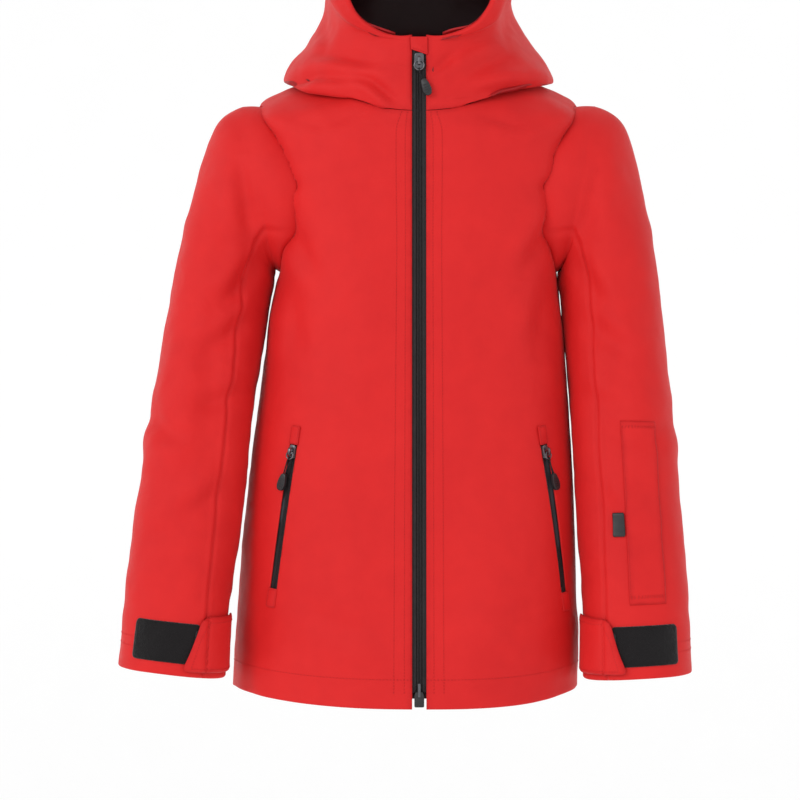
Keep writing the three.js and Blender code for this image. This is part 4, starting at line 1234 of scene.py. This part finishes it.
pocket_lines = {}
for side, label in ((1, "left"), (-1, "right")):
    (top, _), (bottom, _) = on_body(side, *POCKET_TOP), on_body(side, *POCKET_BOTTOM)
    _, outward = on_body(side, (POCKET_TOP[0] + POCKET_BOTTOM[0]) / 2, (POCKET_TOP[1] + POCKET_BOTTOM[1]) / 2)
    line = pocket_lines[label] = Line(bottom, top, outward)
    s = Shape()
    cutter = rounded([(-4.2, -2), (4.2, -2), (4.2, line.length + 2), (-4.2, line.length + 2)], 3.2, 6)
    plate(s, line, cutter, -9, 14, 0.01)
    tool = fix_normals(s.build(label + "_slot_tool", []))
    apply_modifier(pieces[label + "_front"], "BOOLEAN", operation="DIFFERENCE", object=tool, solver="EXACT")
    bpy.data.objects.remove(tool)
    s = Shape()
    for half in (-1, 1):
        tapes(s, line, 0.9, 5.6, -2.5, line.length + 4, 2.3, 0.7, half)
    shown(s, label + "_pocket_tape_woven", [TAPE], [label + "_pocket_tape"])
    s = Shape()
    coil(s, line, 1.7, -1, line.length + 1, 0.95, -1.9, 0.7)
    shown(s, label + "_pocket_coil_loops", [COIL], [label + "_pocket_coil"])
    raised = line.raised(line.length - 8)
    slider = label + "_pocket_slider"
    slider_piece(slider + "_body", slider, slider, raised, 3.3, 13)
    pull_pieces(label + "_pocket_pull", label + "_pocket_pull", raised, 3.6, 7, 15, lean=-3.0 * side)
    s = Shape()
    for low, high in ((line.length - 1, line.length + 17), (-17, 1)):
        x = 5.2
        outline = rounded([(-x, low), (x, low), (x, high), (-x, high)], 1.4, 4)
        plate(s, line, outline, -0.4, 1.1, 0.5)
        for edge in (-x + 1.0, x - 1.0):
            pts = line.at([(edge, 1.15, z) for z in np.linspace(low + 1, high - 1, 8)])
            stitch_line(s, pts, [line.out] * 8, pitch=2.6, material=1)
        for z in (low + 1.0, high - 1.0):
            pts = line.at([(v, 1.15, z) for v in np.linspace(-x + 1, x - 1, 4)])
            stitch_line(s, pts, [line.out] * 4, pitch=1.3, share=0.9, material=1)
    shown(s, label + "_pocket_garages", [RED, RED_THREAD])
    bag = inner_body(label + "_front", 6.6)
    q, m = bag[0], bag[1]
    zmask = (q[:, 20, 2] > 100) & (q[:, 20, 2] < 240)
    rows = np.where(zmask)[0]
    cols = slice(14, 32)
    q, m = q[rows][:, cols], m[rows][:, cols]
    o = cloth(label + "_pocket_bag_mesh", q + m * 3.6, m, 0.8, [GREY, GREY])
    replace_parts(o, label + "_pocket_bag")
    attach(o, "jacket")


# ------------------------------------------------------------------ cuffs and forearm pocket
def arm_at(label, u, degrees, lift):
    i = HEAD_ROWS + np.interp(u, arm_rows, np.arange(len(arm_rows)))
    j = (np.asarray(degrees, float) + 152) / 2.0
    return sleeves[label].at(i, j, lift)


def rounded_patch(name, label, place_at, lift, thick, materials, nodes, body,
                  corner=0.25, rows=34, columns=46, puff=0.5):
    """A patch with rounded corners; place_at(s, t) gives the sleeve row and angle for s, t from -1 to 1."""
    t = np.linspace(-1, 1, rows)[:, None] * np.ones((1, columns))
    s0 = np.linspace(-1, 1, columns)[None, :] * np.ones((rows, 1))
    k = np.clip((np.abs(t) - (1 - corner)) / corner, 0, 1)
    s = s0 * (1 - corner * 0.5 * (1 - np.sqrt(1 - k**2 * 0.999)))
    u, degrees = place_at(s, t)
    rim = np.minimum(1 - np.abs(s0), 1 - np.abs(t))
    p, n = arm_at(label, u, degrees, 0)
    p = p + n * (lift + puff * smooth(0, 0.12, rim))[..., None]
    o = cloth(name, p, n, thick, materials)
    if nodes:
        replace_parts(o, *nodes)
    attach(o, body)
    return o, p, n


for side, label in ((1, "left"), (-1, "right")):
    body = label + "_sleeve"
    rounded_patch(label + "_cuff_loop_patch", label, lambda s, t: (9.66 + 0.19 * t, 6.0 + 33.0 * s),
                  0.9, 1.3, [PILE, PILE],
                  [label + "_cuff_patch"], body, corner=0.3)

    def tab_at(s, t):
        free = -18.0 + 9.0 * t
        return 9.66 + 0.27 * t + 0.02 * s, -92.0 + (free + 92.0) * (s + 1) / 2

    o, p, n = rounded_patch(label + "_cuff_tab_shell", label, tab_at, 3.4, 1.8, [RED, RED],
                            [label + "_cuff_tab"],
                            label + "_cuff_tab", corner=0.3, puff=1.1)
    s = Shape()
    ring = [p[3, 3:-4], p[3:-3, -5], p[-4, 3:-4][::-1]]
    ring_n = [n[3, 3:-4], n[3:-3, -5], n[-4, 3:-4][::-1]]
    for line, normals in zip(ring, ring_n):
        stitch_line(s, line, normals, pitch=2.6)
    shown(s, label + "_cuff_tab_stitches", [RED_THREAD], body=label + "_cuff_tab")
    rounded_patch(label + "_cuff_hook_strip", label, lambda s, t: (9.66 + 0.14 * t, -41.5 + 21.0 * s),
                  2.3, 0.8, [HOOK, HOOK],
                  [label + "_cuff_hooks"], label + "_cuff_tab", corner=0.2, puff=0.2)
    g = sleeves[label]
    s = Shape()
    columns = list(range(0, ARM_COLUMNS, 2)) + [0]
    for back in (20, 26):
        row = g.p.shape[0] - 1 - int(back / 2.6)
        stitch_line(s, g.p[row][columns] + g.n[row][columns] * 0.05, g.n[row][columns], pitch=3.2)
    shown(s, label + "_cuff_hem_stitches", [RED_THREAD], body=body)

o, p, n = rounded_patch("sleeve_pocket_flap_shell", "left", lambda s, t: (8.375 + 0.925 * t, 10.0 + 16.5 * s),
                        0.9, 1.2,
                        [RED, RED], ["sleeve_pocket_flap"], "left_sleeve", corner=0.06, rows=70, puff=1.0)
s = Shape()
along = slice(2, -2)
for edge in ((along, 2), (along, -3), (2, along), (-3, along)):
    stitch_line(s, p[edge], n[edge], pitch=2.8)
for rows in (slice(2, 4), slice(-4, -2)):
    for column in range(3, 42, 3):
        a, b = p[rows, column]
        stitch(s, a, b, n[3, column])
shown(s, "sleeve_pocket_stitches", [RED_THREAD], body="left_sleeve")
rounded_patch("sleeve_pocket_pull_tab", "left", lambda s, t: (8.54 + 0.125 * t, -14.0 + 6.5 * s),
              1.5, 1.2, [MOULDED, MOULDED],
              ["sleeve_pocket_tab"], "left_sleeve", corner=0.25, rows=16, columns=16, puff=0.4)


# ------------------------------------------------------------------ storm flap, garage and hanger loop
rows = np.linspace(8, 616, 150)
grid = np.array([[(x, -5.6 - 0.8 * math.cos(x / 6.5) + 0.5 * math.sin(z / 47.0), z)
                  for x in np.linspace(-15, 18, 18)] for z in rows])
p = MAIN.at(grid).reshape(grid.shape)
n = np.broadcast_to(MAIN.out, p.shape)
o = cloth("storm_flap_cloth", p, n, 1.2, [BLACK, BLACK])
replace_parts(o, "storm_flap")
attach(o, "jacket")
cut_sheet(p)

s = Shape()
fold = np.array([(-8.2, 613.5), (7.6, 619.0), (8.4, 631.0), (-8.0, 631.0)])
plate(s, MAIN, rounded(fold, 1.6, 5), -0.2, 1.3, 0.55)
pts = MAIN.at([(x, 1.35, 615.4 + (x + 7.2) * 0.36) for x in np.linspace(-7.2, 7.0, 8)])
stitch_line(s, pts, [MAIN.out] * 8, pitch=2.4, material=1)
shown(s, "zip_garage_fold", [RED, RED_THREAD], ["zip_garage"])

low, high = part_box("hanger_loop")
mid = (np.array(low) + np.array(high)) / 2 * 1000 + (0, LOOP_Y, LOOP_TOP)
wide, tall = (high[0] - low[0]) * 1000, (high[2] - low[2]) * 1000
arc = []
for t in np.linspace(0, 1, 40):
    a = math.pi * t
    arc.append((-(wide / 2 - 1) * math.cos(a), 0.0, -tall / 2 + (tall - 0.8) * math.sin(a) ** 0.6))
arc = np.array(arc) + mid
run = np.gradient(arc, axis=0)
run /= np.linalg.norm(run, axis=1, keepdims=True)
out = np.cross((0, 1, 0), run)
if np.mean(out[:, 2]) < 0:
    out = -out
deep = max((high[1] - low[1]) * 1000 / 2, 2.0)
grid = np.stack([arc + np.array([0, w, 0]) for w in np.linspace(-deep, deep, 9)], axis=1)
o = cloth("hanger_loop_tape", grid, np.repeat(out[:, None], 9, axis=1), 0.9, [TAPE, TAPE])
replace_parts(o, "hanger_loop")
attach(o, "jacket")


# ------------------------------------------------------------------ stitching on the shell
s = Shape()
for label in ("left_front", "right_front"):
    p, n = panels[label]
    for column in (3, 7):
        stitch_line(s, p[4:, column] + n[4:, column] * 0.05, n[4:, column], pitch=3.0)
for label in ("left_front", "right_front", "back"):
    p, n = panels[label]
    row = 8
    stitch_line(s, p[row] + n[row] * 0.05, n[row], pitch=3.2)
shown(s, "body_stitches", [RED_THREAD])


# ------------------------------------------------------------------ stage, lights and camera
def stage_wall():
    """A round white studio: a floor that curves up into a wall on every side."""
    shape = Shape()
    profile = [(200, -1400.0), (3000, -1400.0)]
    profile += [(5800 + 1400 * math.sin(a), -1400 * math.cos(a)) for a in np.linspace(0, math.pi / 2, 13)]
    profile.append((7200, 7000.0))
    turns = np.linspace(0, 2 * math.pi, 96, endpoint=False)
    points = np.array([[(r * math.cos(t), r * math.sin(t), z) for t in turns] for r, z in profile])
    faces = grid_faces(len(profile), 96, closed=True) + [tuple(range(96))]
    shape.add(points.reshape(-1, 3), faces)
    m = cloth_material("paper", linear(148, 148, 148), linear(154, 154, 154), 3000, 0.95, 0.05, specular=0.0)
    shader = next(n for n in m.node_tree.nodes if n.type == "BSDF_PRINCIPLED")
    shader.inputs["Emission Color"].default_value = (1, 1, 1, 1)
    shader.inputs["Emission Strength"].default_value = 0.72
    o = shape.build("paper_sweep", [m])
    if o.data.polygons[0].normal.z < 0:
        o.data.flip_normals()
    return o


def soft_light(name, at, aim, size, power, colour=(1, 1, 1)):
    data = bpy.data.lights.new(name, "AREA")
    data.shape, data.size, data.energy, data.color = "DISK", size, power, colour
    o = bpy.data.objects.new(name, data)
    bpy.context.scene.collection.objects.link(o)
    o.location = at
    o.rotation_euler = (Vector(aim) - Vector(at)).to_track_quat("-Z", "Y").to_euler()
    return o


stage_wall()
soft_light("key", (-2.2, -2.6, 1.1), (0, 0, -0.2), 1.5, 34)
soft_light("fill", (2.6, -2.4, 0.2), (0, 0, -0.25), 2.2, 1)
soft_light("top", (0, -0.6, 2.6), (0, 0, -0.2), 1.6, 4)
world = bpy.data.worlds.new("white")
world.use_nodes = True
background = next(n for n in world.node_tree.nodes if n.type == "BACKGROUND")
background.inputs["Color"].default_value = (1, 1, 1, 1)
background.inputs["Strength"].default_value = 0.5
bpy.context.scene.world = world
bpy.context.scene.view_settings.view_transform = "Standard"

lens = bpy.data.cameras.new("view")
lens.lens, lens.sensor_width = 139.2, 36
camera = bpy.data.objects.new("view", lens)
bpy.context.scene.collection.objects.link(camera)
camera.location = (-0.018, -3.0506, -0.324)
camera.rotation_euler = (math.pi / 2, 0, 0)
bpy.context.scene.camera = camera
